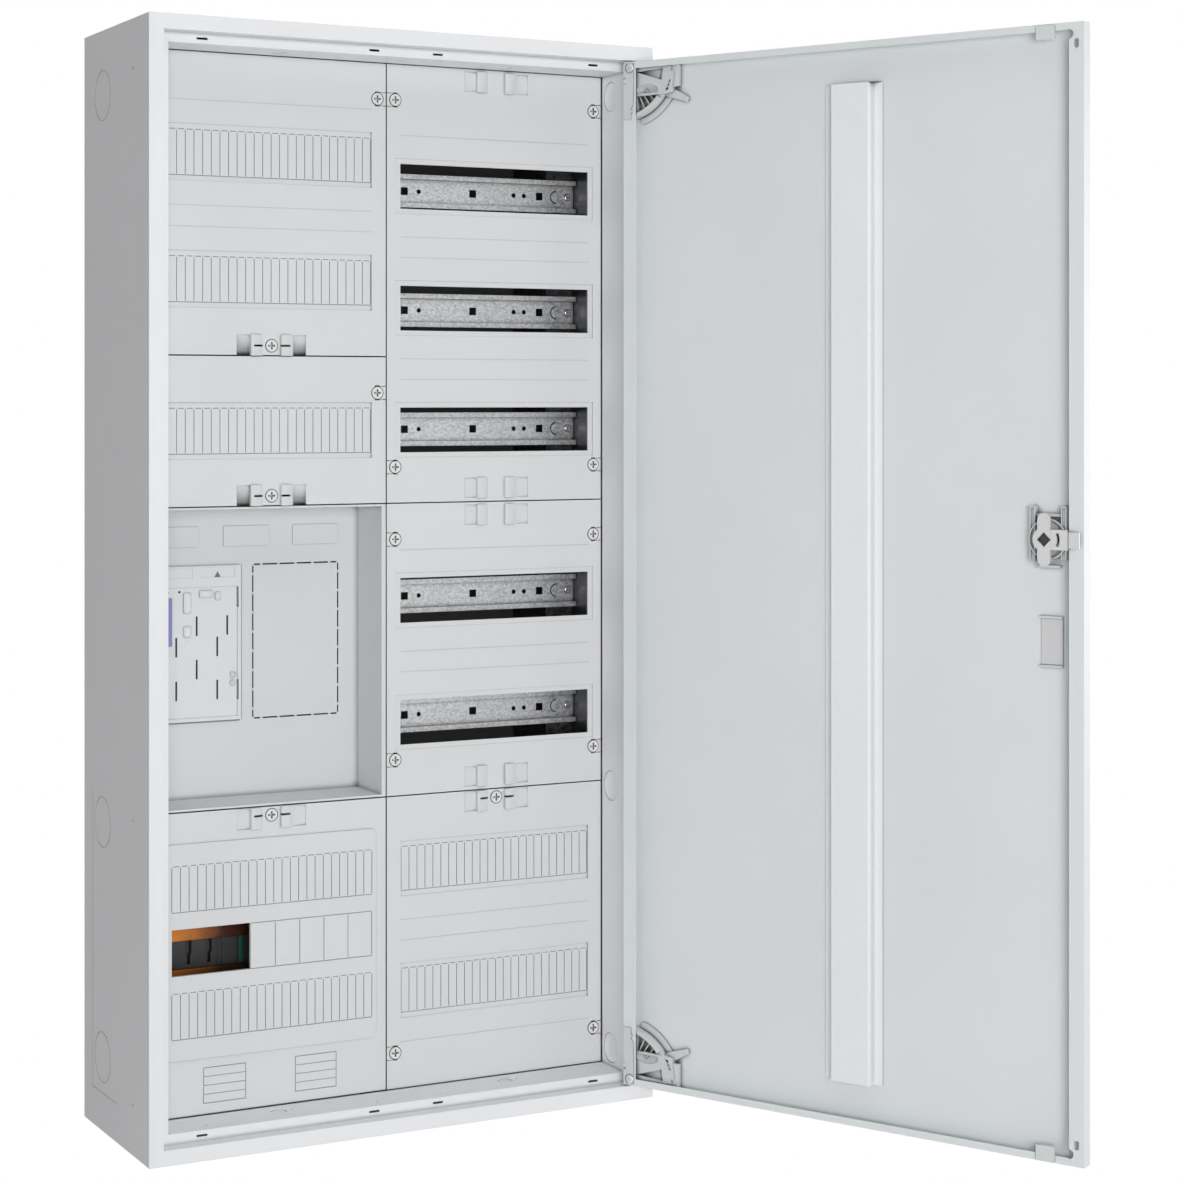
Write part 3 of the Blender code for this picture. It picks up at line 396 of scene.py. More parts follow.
# painted light: the door's paint made lighter as a lit copy for the stiffener bar
LIT_BAR_PAINT = coated("bar_paint_lit", (0.87, 0.89, 0.895), 0.30, 0.012, 1.1 * MM, 0.10, reach=6 * MM)
COVER_MOULDING = coated("cover_moulding", (0.69, 0.70, 0.705), 0.46, 0.015, 0.5 * MM, 0.16, depth=0.15)
TRAY_MOULDING = coated("tray_moulding", (0.68, 0.69, 0.695), 0.52, 0.02, 0.9 * MM, 0.45, reach=8 * MM,
                       depth=0.2)
ADAPTER_MOULDING = coated("adapter_moulding", (0.73, 0.745, 0.75), 0.42, 0.012, 0.5 * MM, 0.12, reach=3 * MM,
                          depth=0.08)
LOCK_MOULDING = coated("lock_moulding", (0.76, 0.76, 0.76), 0.35, 0.01, 0.4 * MM, 0.08, depth=0.04)
LILAC = coated("slider_lilac", (0.24, 0.26, 0.50), 0.40, 0.02, 0.5 * MM, 0.1)
RAIL_ZINC = galvanised("rail_zinc", (0.42, 0.43, 0.44), (0.70, 0.71, 0.72), 0.40, 1.8 * MM)
# painted shade: the uprights' zinc is near black, as the shade inside the cabinet
SHADED_PROFILE_ZINC = galvanised("profile_zinc_painted_shade", (0.03, 0.03, 0.032), (0.09, 0.09, 0.095), 0.45, 5 * MM)
COPPER = shaded_copper("bar_copper", (0.78, 0.25, 0.03), (0.07, 0.02, 0.008))
CARRIER_GREY = coated("carrier_grey", (0.035, 0.035, 0.037), 0.45, 0.05, 0.6 * MM, 0.2, depth=0.1)
EARTH_GREEN = coated("earth_green", (0.006, 0.11, 0.07), 0.45, 0.03, 0.6 * MM, 0.1)
NYLON = coated("hinge_nylon", (0.66, 0.67, 0.675), 0.38, 0.015, 0.5 * MM, 0.1, reach=7 * MM, depth=0.03)
LATCH_CAST = coated("latch_cast", (0.68, 0.68, 0.685), 0.34, 0.02, 0.5 * MM, 0.12, metallic=0.1, reach=5 * MM,
                    depth=0.08)
INSERT_DARK = coated("insert_dark", (0.025, 0.025, 0.026), 0.35, 0.03, 0.4 * MM, 0.08)
PIN_STEEL = coated("pin_steel", (0.55, 0.55, 0.56), 0.28, 0.03, 0.4 * MM, 0.08, metallic=0.9)
SCREW_STEEL = coated("screw_steel", (0.78, 0.78, 0.79), 0.22, 0.03, 0.4 * MM, 0.08, metallic=0.95, depth=0.05)
LABEL_CLEAR = coated("label_clear", (0.66, 0.655, 0.665), 0.22, 0.01, 0.8 * MM, 0.05, reach=2 * MM)
BUFFER_SOFT = coated("buffer_soft", (0.70, 0.72, 0.72), 0.5, 0.02, 0.5 * MM, 0.1)
SIGN_DARK = coated("sign_dark", (0.16, 0.16, 0.17), 0.5, 0.02, 0.5 * MM, 0.1)

# ---------- cabinet shell

RING_R, RING_LINE, RING_DEEP = 25 * MM, 0.9 * MM, 0.55 * MM
RING_Y, RING_Z = FRONT + 144 * MM, tuple(z * MM for z in (485, -241, -476))
NAIL_Y, NAIL_Z = FRONT + 49.5 * MM, tuple(z * MM for z in (502, -226, -501))
NAIL_R, NAIL_L = 1.6 * MM, 8 * MM
SCORE_Y, SCORE_START_Y = FRONT + 176 * MM, FRONT + 98 * MM
SCORE_LOW_Z, SCORE_HIGH_Z = -512 * MM, -212 * MM
# the room inside the shell whose faces take the painted shade
ROOM_START, ROOM_SIDE, ROOM_BACK = FRONT + 60 * MM, 6 * MM, 0.4 * MM
PUNCH = 6 * MM  # length of a round punch through a sheet


def shell_walls():
    """The folded shell, with the lines of its knock-outs pressed into both side walls."""
    shell = soften(from_cad("enclosure_shell"), 0.5 * MM)
    inner, outer = around(RING_R, RING_LINE / 2)
    tools = []
    for x in (SHELL_LOW.x, SHELL_HIGH.x):
        wall = around(x, RING_DEEP)
        tools += [round_groove((x, RING_Y, z), outer, inner, RING_DEEP, "X", 48) for z in RING_Z]
        tools += [rod((x, NAIL_Y, z), NAIL_R, NAIL_L, "X", 16) for z in NAIL_Z]
        tools.append(block(wall, (SCORE_Y, SCORE_Y + RING_LINE), (SCORE_LOW_Z, SCORE_HIGH_Z)))
        tools.append(block(wall, (SCORE_START_Y, SCORE_Y - RING_LINE), (SCORE_LOW_Z, SCORE_LOW_Z + RING_LINE)))
    cut(shell, tools)
    done(shell, "shell_walls", PAINT, "cabinet", "coated_steel", "enclosure_shell")
    # The faces inside the cabinet take a near-black finish: painted shade of the cabinet's inside.
    shell.data.materials.append(INNER_SHADE)
    for face in shell.data.polygons:
        spot = face.center
        inside = abs(spot.x) < SHELL_HIGH.x - ROOM_SIDE and abs(spot.z) < SHELL_HIGH.z - ROOM_SIDE
        if inside and ROOM_START < spot.y < SHELL_HIGH.y - ROOM_BACK:
            face.material_index = 1


FLANGE, LIP_Y, BORDER = 15 * MM, FRONT + 17 * MM, 25 * MM
SLOT_X = tuple(x * MM for x in (-216, -35, 35, 213))
SLOT_L, SLOT_H = 11 * MM, 2.2 * MM
SLOT_HOLE_X, SLOT_HOLE_Y, SLOT_HOLE_R = 9 * MM, LIP_Y + 14 * MM, 1.4 * MM
DISH_R, DISH_DEEP, DISH_Y = 16 * MM, 4.2 * MM, FRONT + 46 * MM
DISH_Z = tuple(z * MM for z in (502, -228, -506))
DISH_STEPS = ((0.22, -0.55), (0.30, -0.12))  # shares of its radius, and of its depth
KNOCK_X, KNOCK_Y, KNOCK_R = (-126 * MM, 124 * MM), FRONT + 44 * MM, 8 * MM
KNOCK_HOLE_X, KNOCK_HOLE_Y, KNOCK_HOLE_R = 14 * MM, KNOCK_Y + 2 * MM, 1.3 * MM


def folded_front():
    """Flange, rabbet, lip and reveal, with hanging slots, wire holes and dished knock-outs."""
    front = soften(from_cad("front_frame"), 0.45 * MM, 3)
    half_w, half_h = SHELL_HIGH.x, SHELL_HIGH.z
    tools = []
    for end in (-1, 1):
        lip_z = end * (half_h - (FLANGE + BORDER) / 2)
        reveal_z = end * (half_h - BORDER)
        for x in SLOT_X:
            tools.append(block(around(x, SLOT_L / 2), (LIP_Y - MM, LIP_Y + 3 * MM), around(lip_z, SLOT_H / 2)))
            tools.append(rod((x + SLOT_HOLE_X, SLOT_HOLE_Y, reveal_z), SLOT_HOLE_R, PUNCH, "Z", 12))
        for x in KNOCK_X:
            tools.append(rod((x, KNOCK_Y, reveal_z), KNOCK_R, PUNCH, "Z", 32))
            tools.append(rod((x + KNOCK_HOLE_X, KNOCK_HOLE_Y, reveal_z), KNOCK_HOLE_R, PUNCH, "Z", 12))
        for z in DISH_Z:
            tools.append(rod((end * (half_w - BORDER), DISH_Y, z), DISH_R, PUNCH, "X", 40))
    cut(front, tools)
    done(front, "folded_front", LIT_FRAME_PAINT, "cabinet", "coated_frame", "front_frame")


def dish(centre, radius, deep, axis, way):
    """A pressed dish that closes a round knock-out: a flat disc stepped in and bulged outwards."""
    offset = Vector({"X": (way, 0, 0), "Z": (0, 0, way)}[axis])
    piece = rod(centre + offset * (deep / 2 + 0.6 * MM), radius - 0.5 * MM, deep, axis, 40)
    steps = [(bpy.ops.mesh.inset, {"thickness": wide * radius, "depth": fall * deep})
             for wide, fall in DISH_STEPS]
    return soften(edit(piece, lambda face: face.normal.dot(-offset) > 0.9, *steps), 0.5 * MM, 3)


def knock_out_dishes():
    half_w, half_h = SHELL_HIGH.x - BORDER, SHELL_HIGH.z - BORDER
    dishes = [dish(Vector((side * half_w, DISH_Y, z)), DISH_R, DISH_DEEP, "X", side)
              for side in (-1, 1) for z in DISH_Z]
    done(joined(dishes), "reveal_dishes", LIT_FRAME_PAINT, "cabinet", "coated_frame")
    plugs = [dish(Vector((x, KNOCK_Y, end * half_h)), KNOCK_R, 2 * MM, "Z", end)
             for end in (-1, 1) for x in KNOCK_X]
    done(joined(plugs), "reveal_plugs", LIT_FRAME_PAINT, "cabinet", "coated_frame")


# ---------- moulded covers

WINDOW_W, WINDOW_H = 218 * MM, 46 * MM
POCKET_UP, POCKET_DOWN, POCKET_SIDE = 5.6 * MM, 5.2 * MM, 5.5 * MM
STRIP_DEEP, WINDOW_DEEP = 1.5 * MM, 0.8 * MM
FIELDS, FIELD_W = 24, 9 * MM
LINE, LINE_DEEP = 0.75 * MM, 0.9 * MM
FAINT, FAINT_DEEP = 0.4 * MM, 0.3 * MM
ROW_LINES = (-52 * MM, 52 * MM)
CLIP_OUT, CLIP_MID, CLIP_IN, CLIP_H = 37 * MM, 23 * MM, 9.5 * MM, 21 * MM
CLIP_DEEP, CLIP_PROUD, CLIP_STEP = 1.9 * MM, 3.0 * MM, 0.3 * MM
RING_OUT, RING_IN, GAP_DEEP = 6.9 * MM, 5.7 * MM, 1.6 * MM
LOCK_ARC_W, LOCK_ARC_H, LOCK_ARC_AT = 5 * MM, 2.0 * MM, 6.6 * MM
SIDE_SLOT_L, SIDE_SLOT_H, SIDE_SLOT_AT = 10 * MM, 2.0 * MM, 14.5 * MM
TAB_START, TAB_REACH, TAB_HALF = 3 * MM, 9.5 * MM, 6.8 * MM
ROW_LINE_HALF, ROW_LINE_FOOT, ROW_LINE_TOP = 109 * MM, 26 * MM, 24 * MM

# millimetres above each cover's foot: windows, strips of blanks, clips; and clips below its top
COVERS = (
    ("cover_left_top", (), (75, 200), (10.5,), ()),
    ("cover_left_middle", (), (75,), (10.5,), ()),
    ("cover_left_bottom", (), (), (), (11.5,)),
    ("cover_right_top", (75, 200, 325), (), (14.5,), (13.5,)),
    ("cover_right_middle", (75, 200), (), (14.5,), (13.5,)),
    ("cover_right_bottom", (), (100, 225), (), (11.5,)),
)


def groove(x, z, surface, deep):
    """A straight groove in a face that looks to the front."""
    return block(x, (surface - MM, surface + deep), z)


def repeated(piece, count, step):
    return modified(piece, "ARRAY", count=count, use_relative_offset=False, use_constant_offset=True,
                    constant_offset_displace=step)


def pocket(x, z, deep):
    """The shallow field that frames a window or a strip of blanks."""
    return groove(x, (z - WINDOW_H / 2 - POCKET_DOWN, z + WINDOW_H / 2 + POCKET_UP), COVER_Y, deep)


def field_lines(left, z, count, width, surface):
    """The break-out lines of a row of blanks: a dash over each, a line under all, uprights between."""
    low, high = around(z, WINDOW_H / 2)
    upright = groove(around(left, LINE / 2), (low + 2 * LINE, high - 2 * LINE), surface, LINE_DEEP)
    dash = groove((left + 2 * LINE, left + width - 2 * LINE), (high - LINE, high), surface, LINE_DEEP)
    under = groove((left, left + count * width), (low, low + LINE), surface, LINE_DEEP)
    return [repeated(upright, count + 1, (width, 0, 0)), repeated(dash, count, (width, 0, 0)), under]


def clip(middle, z, tools, humps):
    """A finger clip: a hollow that runs in to a step, and beside it a hump that runs out."""
    height, over, under = around(z, CLIP_H / 2), COVER_Y - 2 * CLIP_DEEP, COVER_Y + MM
    reach = CLIP_OUT - CLIP_MID
    for x in (middle - CLIP_MID, middle + CLIP_OUT):
        outline = [(x + reach * u, COVER_Y + CLIP_DEEP * v) for u, v in arc((0, 0), 1.0, 90, 180, 8)]
        tools.append(slab(outline + [(x - reach, over), (x, over)], "Z", *height))
    reach = CLIP_MID - CLIP_IN
    for x in (middle - CLIP_MID + CLIP_STEP, middle + CLIP_IN):
        outline = [(x + reach * u, under - (CLIP_PROUD + MM) * v) for u, v in arc((0, 0), 1.0, 90, 0, 8)]
        humps.append(slab(outline + [(x, under)], "Z", *height))


def lock_recesses(node, x_middle):
    """The gap round each turn lock, dark arcs beside it, and the tab lines of the locks at a cover's side."""
    arcs, tabs, rings = [], [], []
    first_part = node.replace("cover", "lock") + "_"
    for lock in sorted(name for name in frame["nodes"] if name.startswith(first_part)):
        x, z = centre_of(lock)
        side = x - x_middle
        rings.append(round_groove((x, COVER_Y, z), RING_OUT, RING_IN, GAP_DEEP, "Y", 36))
        for way in (-1, 1):
            if abs(side) > CLIP_OUT:
                arcs.append(block(around(x, LOCK_ARC_W / 2), (COVER_Y - MM, COVER_Y + 4 * MM),
                                  around(z + way * LOCK_ARC_AT, LOCK_ARC_H / 2)))
                tab_x = (x + math.copysign(TAB_START, side), x + math.copysign(TAB_REACH, side))
                tabs.append(groove(tab_x, around(z + way * TAB_HALF, FAINT), COVER_Y, 2 * FAINT_DEEP))
            else:
                arcs.append(block(around(x + way * SIDE_SLOT_AT, SIDE_SLOT_L / 2),
                                  (COVER_Y - 5 * MM, COVER_Y + 4 * MM), around(z, SIDE_SLOT_H / 2)))
    return arcs, tabs, rings


def moulded_cover(node, windows, strips, clips_low, clips_high):
    low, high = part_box(node)
    left, foot, top = low.x - COVER_EDGE, low.z - COVER_EDGE, high.z + COVER_EDGE
    middle = left + COLUMN / 2
    start = middle - FIELDS * FIELD_W / 2
    cover = soften(from_cad(node), 0.5 * MM)
    pockets, lines, humps = [], [], []
    for up in windows:
        pockets.append(pocket(around(middle, WINDOW_W / 2 + POCKET_SIDE), foot + up * MM, WINDOW_DEEP))
    for up in strips:
        pockets.append(pocket((start - LINE, start + FIELDS * FIELD_W + LINE), foot + up * MM, STRIP_DEEP))
        lines += field_lines(start, foot + up * MM, FIELDS, FIELD_W, COVER_Y + STRIP_DEEP)
    for z in [foot + up * MM + row for up in windows + strips for row in ROW_LINES]:
        if foot + ROW_LINE_FOOT < z < top - ROW_LINE_TOP:
            lines.append(groove(around(middle, ROW_LINE_HALF), around(z, FAINT), COVER_Y, FAINT_DEEP))
    for z in [foot + up * MM for up in clips_low] + [top - down * MM for down in clips_high]:
        clip(middle, z, pockets, humps)
    arcs, tabs, rings = lock_recesses(node, middle)
    for tools, work in ((pockets, cut), (humps, welded), (rings, cut), (arcs, cut), (tabs, cut), (lines, cut)):
        if tools:
            work(cover, tools)
    if node == "cover_left_bottom":
        busbar_cover(cover, left, foot)
    done(cover, node.replace("cover", "moulding"), COVER_MOULDING, "cabinet", "cover_plastic", node)


PLATE_X, PLATE_Z, PLATE_PROUD, PLATE_R = (14 * MM, 238 * MM), (56 * MM, 269 * MM), 1.8 * MM, 6 * MM
BUSBAR_STRIP_X, BUSBAR_FIELD = 20 * MM, 8.88 * MM
BUSBAR_STRIPS_UP, BUSBAR_WINDOW_UP = (100 * MM, 225 * MM), 162.5 * MM
BLANK_X, BLANKS, BLANK_W = 102 * MM, 5, 26.2 * MM
GRID_X, GRID_W, GRID_Z, GRID_H, GRID_ROWS = (53 * MM, 150 * MM), 45 * MM, 11 * MM, 35 * MM, 4


def busbar_cover(cover, left, foot):
    """The raised plate over the busbars with its rows of blanks, and two empty label grids below it."""
    surface = COVER_Y - PLATE_PROUD
    low_x, high_x = left + PLATE_X[0] + PLATE_R, left + PLATE_X[1] - PLATE_R
    low_z, high_z = foot + PLATE_Z[0] + PLATE_R, foot + PLATE_Z[1] - PLATE_R
    outline = []
    for x, z, turn in ((low_x, low_z, 180), (high_x, low_z, 270), (high_x, high_z, 0), (low_x, high_z, 90)):
        outline += arc((x, z), PLATE_R, turn, turn + 90, 5)
    plate = slab(outline, "Y", COVER_Y + MM, surface)
    edit(plate, lambda face: face.normal.y < -0.9, (bpy.ops.mesh.bevel, {"offset": 0.7 * MM, "segments": 3}))
    welded(cover, [plate])
    start, (low, high) = left + BLANK_X, around(foot + BUSBAR_WINDOW_UP, WINDOW_H / 2)
    cut(cover, [block((left + BUSBAR_STRIP_X, start), (COVER_Y - 5 * MM, COVER_Y + 6 * MM), (low, high))])
    lines = []
    for up in BUSBAR_STRIPS_UP:
        lines += field_lines(left + BUSBAR_STRIP_X, foot + up, FIELDS, BUSBAR_FIELD, surface)
    for z in (low, high - LINE):
        lines.append(groove((start + LINE, start + BLANKS * BLANK_W), (z, z + LINE), surface, LINE_DEEP))
    divider = groove(around(start + BLANK_W, LINE / 2), (low + 2 * LINE, high - 2 * LINE), surface, LINE_DEEP)
    lines.append(repeated(divider, BLANKS, (BLANK_W, 0, 0)))
    z, step = foot + GRID_Z, GRID_H / GRID_ROWS
    for x in [left + grid for grid in GRID_X]:
        row = groove((x, x + GRID_W), (z, z + LINE), COVER_Y, LINE_DEEP)
        lines.append(repeated(row, GRID_ROWS + 1, (0, 0, step)))
        for edge in (x, x + GRID_W - LINE):
            side = groove((edge, edge + LINE), (z + 1.5 * LINE, z + step - 0.5 * LINE), COVER_Y, LINE_DEEP)
            lines.append(repeated(side, GRID_ROWS, (0, 0, step)))
    cut(cover, lines)


CROSS_L, CROSS_W, CROSS_DEEP = 3.7 * MM, 0.9 * MM, 2.2 * MM


def turn_locks():
    """Each lock is its own piece on its own axis."""
    for node in sorted(name for name in frame["nodes"] if name.startswith("lock_")):
        x, z = centre_of(node)
        face_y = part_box(node)[0].y
        deep = (face_y - MM, face_y + CROSS_DEEP)
        cross = block(around(x, CROSS_L), deep, around(z, CROSS_W))
        upright = block(around(x, CROSS_W), deep, around(z, CROSS_L))
        lock = soften(cut(from_cad(node), [welded(cross, [upright])]), 0.2 * MM, 2)
        done(lock, node.replace("lock", "turn_lock"), LOCK_MOULDING, node, "lock_plastic", node)


# ---------- rails and profiles

RAIL_WEB, TICK_W, TICK_H, TICK_OFF = 1.0 * MM, 0.5 * MM, 3.2 * MM, 8 * MM
TICKS_X = (-74 * MM, -9 * MM, 6.5 * MM)
BOSS_IN, BOSS_R, BOSS_CUT_IN, BOSS_CUT_OUT = 21 * MM, 6.2 * MM, 6.3 * MM, 7.3 * MM
RAIL_SCREW_IN, RAIL_SCREW_R, RAIL_SCREW_T, WASHER_R = 7 * MM, 3.7 * MM, 2.0 * MM, 4.3 * MM
SCREW_SLOT_L, SCREW_SLOT_W = 4.8 * MM, 1.0 * MM


def rails():
    for number in range(1, 6):
        node = f"din_rail_{number}"
        low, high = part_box(node)
        middle, z = centre_of(node)
        web, boss = high.y - RAIL_WEB, (high.x - BOSS_IN, z)
        tools = [block((middle + x, middle + x + TICK_W), (web - 0.3 * MM, web + 0.25 * MM),
                       around(z + way * TICK_OFF, TICK_H / 2)) for x in TICKS_X for way in (-1, 1)]
        tools.append(slab(arc(boss, BOSS_CUT_OUT, 92, 268, 14) + arc(boss, BOSS_CUT_IN, 268, 92, 14), "Y",
                          web - 2 * MM, web + 3 * MM))
        rail = cut(soften(from_cad(node), 0.28 * MM, 2), tools)
        done(rail, f"top_hat_rail_{number}", RAIL_ZINC, "cabinet", "galvanised_steel", node)
        fixings = []
        for x in (low.x + RAIL_SCREW_IN, high.x - RAIL_SCREW_IN):
            head = soften(rod((x, web - 0.9 * MM, z), RAIL_SCREW_R, RAIL_SCREW_T, "Y", 28), 0.7 * MM, 3)
            cut(head, [block(around(x, SCREW_SLOT_L / 2), (web - 3 * MM, web - 1.1 * MM),
                             around(z, SCREW_SLOT_W / 2))])
            fixings += [head, rod((x, web + 0.4 * MM, z), WASHER_R, 0.6 * MM, "Y", 28)]
        done(joined(fixings), f"rail_screws_{number}", SCREW_STEEL, "cabinet", "galvanised_steel")
        half_moon = slab(arc(boss, BOSS_R, 90, 270, 14), "Y", web + 0.2 * MM, web - 1.2 * MM)
        done(soften(half_moon, 0.5 * MM, 3), f"rail_boss_{number}", RAIL_ZINC, "cabinet", "galvanised_steel")


# ---------- meter place

TRAY_WALL, TRAY_RIM_X, TRAY_RIM_Z = 1.6 * MM, 4.6 * MM, 2.2 * MM
LABEL_PLATES_X = (20.4 * MM, 97.4 * MM, 172.5 * MM)
LABEL_PLATE_W, LABEL_PLATE_H, LABEL_PLATE_UP = 50 * MM, 20.5 * MM, 257 * MM
BREAK_X, BREAK_Z = (129.3 * MM, 223 * MM), (80.5 * MM, 237.7 * MM)
DASH, DASH_GAP, DASH_W = 18.0 * MM, 2.6 * MM, 1.5 * MM
SEAT_REST, SEAT_HEAD, SEAT_GAP_DEEP, LEDGE_IN = 5 * MM, 25 * MM, 1.3 * MM, 7 * MM


def dashes(start, end):
    """Pairs of start and end of the dashes that fill a length, with a half dash at each corner."""
    count = max(1, round((end - start) / (DASH + DASH_GAP)))
    pitch = (end - start) / count
    edges = [start + pitch / 2 + i * pitch for i in range(count)]
    marks = [start] + edges + [end]
    return [(a + DASH_GAP / 2, b - DASH_GAP / 2) for a, b in zip(marks, marks[1:])]


def meter_tray_moulding():
    low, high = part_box("meter_tray")
    seat_low, seat_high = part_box("meter_adapter")
    foot, left = low.z - COVER_EDGE, low.x - COVER_EDGE
    floor_y = seat_high.y + 0.3 * MM
    middle, width = (low + high) / 2, high.x - low.x

    def narrower(rim_x, rim_z):
        """Insets by the rim over and under, and widens the inset's sides to the rim at the left and right."""
        share = (width - 2 * rim_x) / (width - 2 * rim_z)
        return [(bpy.ops.mesh.inset, {"thickness": rim_z, "depth": 0.0}),
                (bpy.ops.transform.resize, {"value": (share, 1, 1), "center_override": tuple(middle)})]

    def pushed(length):
        return (bpy.ops.mesh.extrude_region_move, {"TRANSFORM_OT_translate": {"value": (0, length, 0)}})

    tray = block((low.x, high.x), (low.y, low.y + TRAY_WALL), (low.z, high.z))
    edit(tray, lambda face: face.normal.y > 0.9, *narrower(TRAY_RIM_X - TRAY_WALL, TRAY_RIM_Z - TRAY_WALL),
         pushed(high.y - low.y - TRAY_WALL))
    edit(tray, lambda face: face.normal.y < -0.9 and face.center.y < low.y + MM,
         *narrower(TRAY_RIM_X, TRAY_RIM_Z), pushed(floor_y - low.y))
    soften(tray, 0.6 * MM, 3)
    welded(tray, [soften(block((left + x, left + x + LABEL_PLATE_W), (floor_y - 1.1 * MM, floor_y + 0.5 * MM),
                               (foot + LABEL_PLATE_UP, foot + LABEL_PLATE_UP + LABEL_PLATE_H)), 0.35 * MM)
                  for x in LABEL_PLATES_X])
    through, shallow = (floor_y - MM, floor_y + 4 * MM), (floor_y - MM, floor_y + SEAT_GAP_DEEP)
    break_x, break_z = [left + x for x in BREAK_X], [foot + z for z in BREAK_Z]
    slots = [block(dash, through, around(z, DASH_W / 2)) for dash in dashes(*break_x) for z in break_z]
    slots += [block(around(x, DASH_W / 2), through, dash) for dash in dashes(*break_z) for x in break_x]
    slots.append(block((seat_low.x + SEAT_REST, seat_high.x - SEAT_REST), through,
                       (seat_low.z + SEAT_REST, seat_high.z - SEAT_HEAD)))
    slots.append(block((seat_high.x + 0.2 * MM, seat_high.x + 1.5 * MM), shallow, (seat_low.z, seat_high.z)))
    slots.append(block((seat_low.x, seat_high.x - 0.5 * MM), shallow,
                       (seat_low.z - 1.7 * MM, seat_low.z - 0.2 * MM)))
    ledge_z = low.z + TRAY_RIM_Z
    slots.append(block((low.x + LEDGE_IN, high.x - LEDGE_IN), (floor_y - 2.0 * MM, floor_y - 0.5 * MM),
                       (ledge_z - 1.1 * MM, ledge_z + 0.6 * MM)))
    cut(tray, slots)
    done(tray, "meter_tray_moulding", TRAY_MOULDING, "cabinet", "tray_plastic", "meter_tray")


# on the adapter, from its lower left corner in millimetres: left and right, then bottom and top
BOSSES = (((32.4, 40.2), (109.9, 130.3)), ((32.4, 40.2), (85.7, 96.6)), ((49.2, 63.0), (125.2, 132.2)),
          ((66.2, 71.2), (122.4, 130.4)), ((82.3, 87.2), (43.2, 48.4)), ((82.3, 87.2), (35.0, 40.0)))
LABEL_FIELDS = (((4, 41.9), (145.4, 155.4)), ((51.5, 86.8), (145.4, 155.4)))
PIN_HOLES, PIN_HOLE_R = ((16.1, 131.4), (28.2, 131.4)), 1.3 * MM
CLIP_SLOTS, CLIP_SLOT_IN, CLIP_SLOT_W = ((114.4, 135.0), (20.4, 40.8)), 4.6 * MM, 2.0 * MM
ARROW_AT, ARROW_HALF, ARROW_H = (68.5, 145.6), 3.2 * MM, 5.6 * MM


def adapter():
    low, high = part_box("meter_adapter")
    front, sunk = low.y, low.y + 1.0 * MM

    def field(x, y, z):
        return block([low.x + edge * MM for edge in x], y, [low.z + edge * MM for edge in z])

    tools = [field(x, (front - MM, front + 0.35 * MM), z) for x, z in LABEL_FIELDS]
    for bottom, top in CLIP_SLOTS:
        edge = high.x - CLIP_SLOT_IN
        tools.append(block((edge, edge + CLIP_SLOT_W), (front - MM, front + 5 * MM),
                           (low.z + bottom * MM, low.z + top * MM)))
    for x, z in PIN_HOLES:
        tools.append(rod((low.x + x * MM, sunk, low.z + z * MM), PIN_HOLE_R, 8 * MM, "Y", 16))
    bosses = [edit(field(x, (sunk + 0.5 * MM, sunk - 1.6 * MM), z), lambda face: face.normal.y < -0.9,
                   (bpy.ops.mesh.inset, {"thickness": 1.2 * MM, "depth": 0.0}),
                   (bpy.ops.transform.translate, {"value": (0, 2.0 * MM, 0)})) for x, z in BOSSES]
    plate = welded(cut(soften(from_cad("meter_adapter"), 0.35 * MM, 2), tools), bosses)
    done(plate, "adapter_moulding", ADAPTER_MOULDING, "cabinet", "tray_plastic", "meter_adapter")
    x, z = low.x + ARROW_AT[0] * MM, low.z + ARROW_AT[1] * MM
    arrow = slab([(x - ARROW_HALF, z), (x + ARROW_HALF, z), (x, z + ARROW_H)], "Y", front + 0.5 * MM,
                 front - 0.1 * MM)
    done(arrow, "adapter_arrow", SIGN_DARK, "cabinet", "tray_plastic")
    slide = soften(from_cad("adapter_slider"), 0.3 * MM, 2)
    done(slide, "lilac_slider", LILAC, "meter_slider", "slider_plastic", "adapter_slider")


# along a busbar, in millimetres: the first hole, the pitch and the places that have one
BAR_HOLE_AT, BAR_HOLE_PITCH, BAR_HOLES, BAR_HOLE_R = 12, 25, (0, 4, 5, 6, 7, 8), 2.2 * MM


def busbar_place():
    carrier = soften(from_cad("busbar_carrier"), 0.5 * MM, 2)
    done(carrier, "bar_holder", CARRIER_GREY, "cabinet", "carrier_plastic", "busbar_carrier")
    for word in ("upper", "lower"):
        node = f"busbar_{word}"
        low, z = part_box(node)[0], centre_of(node)[1]
        holes = [rod((low.x + (BAR_HOLE_AT + BAR_HOLE_PITCH * i) * MM, low.y, z), BAR_HOLE_R, 20 * MM, "Y", 20)
                 for i in BAR_HOLES]
        done(cut(soften(from_cad(node), 0.7 * MM, 3), holes), f"{word}_bar", COPPER, "cabinet", "busbar_copper",
             node)
    link = soften(from_cad("earth_link"), 0.4 * MM, 2)
    done(link, "green_link", EARTH_GREEN, "cabinet", "earth_green", "earth_link")


# ---------- door, modelled shut

PAN = shut("door_pan")
PAN_LOW, PAN_HIGH = box_of(PAN)
SKIN_Y, LIP_FACE_Y = PAN_LOW.y + 1.0 * MM, PAN_HIGH.y
FREE_LIP = 15 * MM
LIP_HOLE_L, LIP_HOLE_W, LIP_HOLE_Z = 9 * MM, 4.5 * MM, 20 * MM
NOTCH_R, NOTCH_Z = 4.5 * MM, 11 * MM


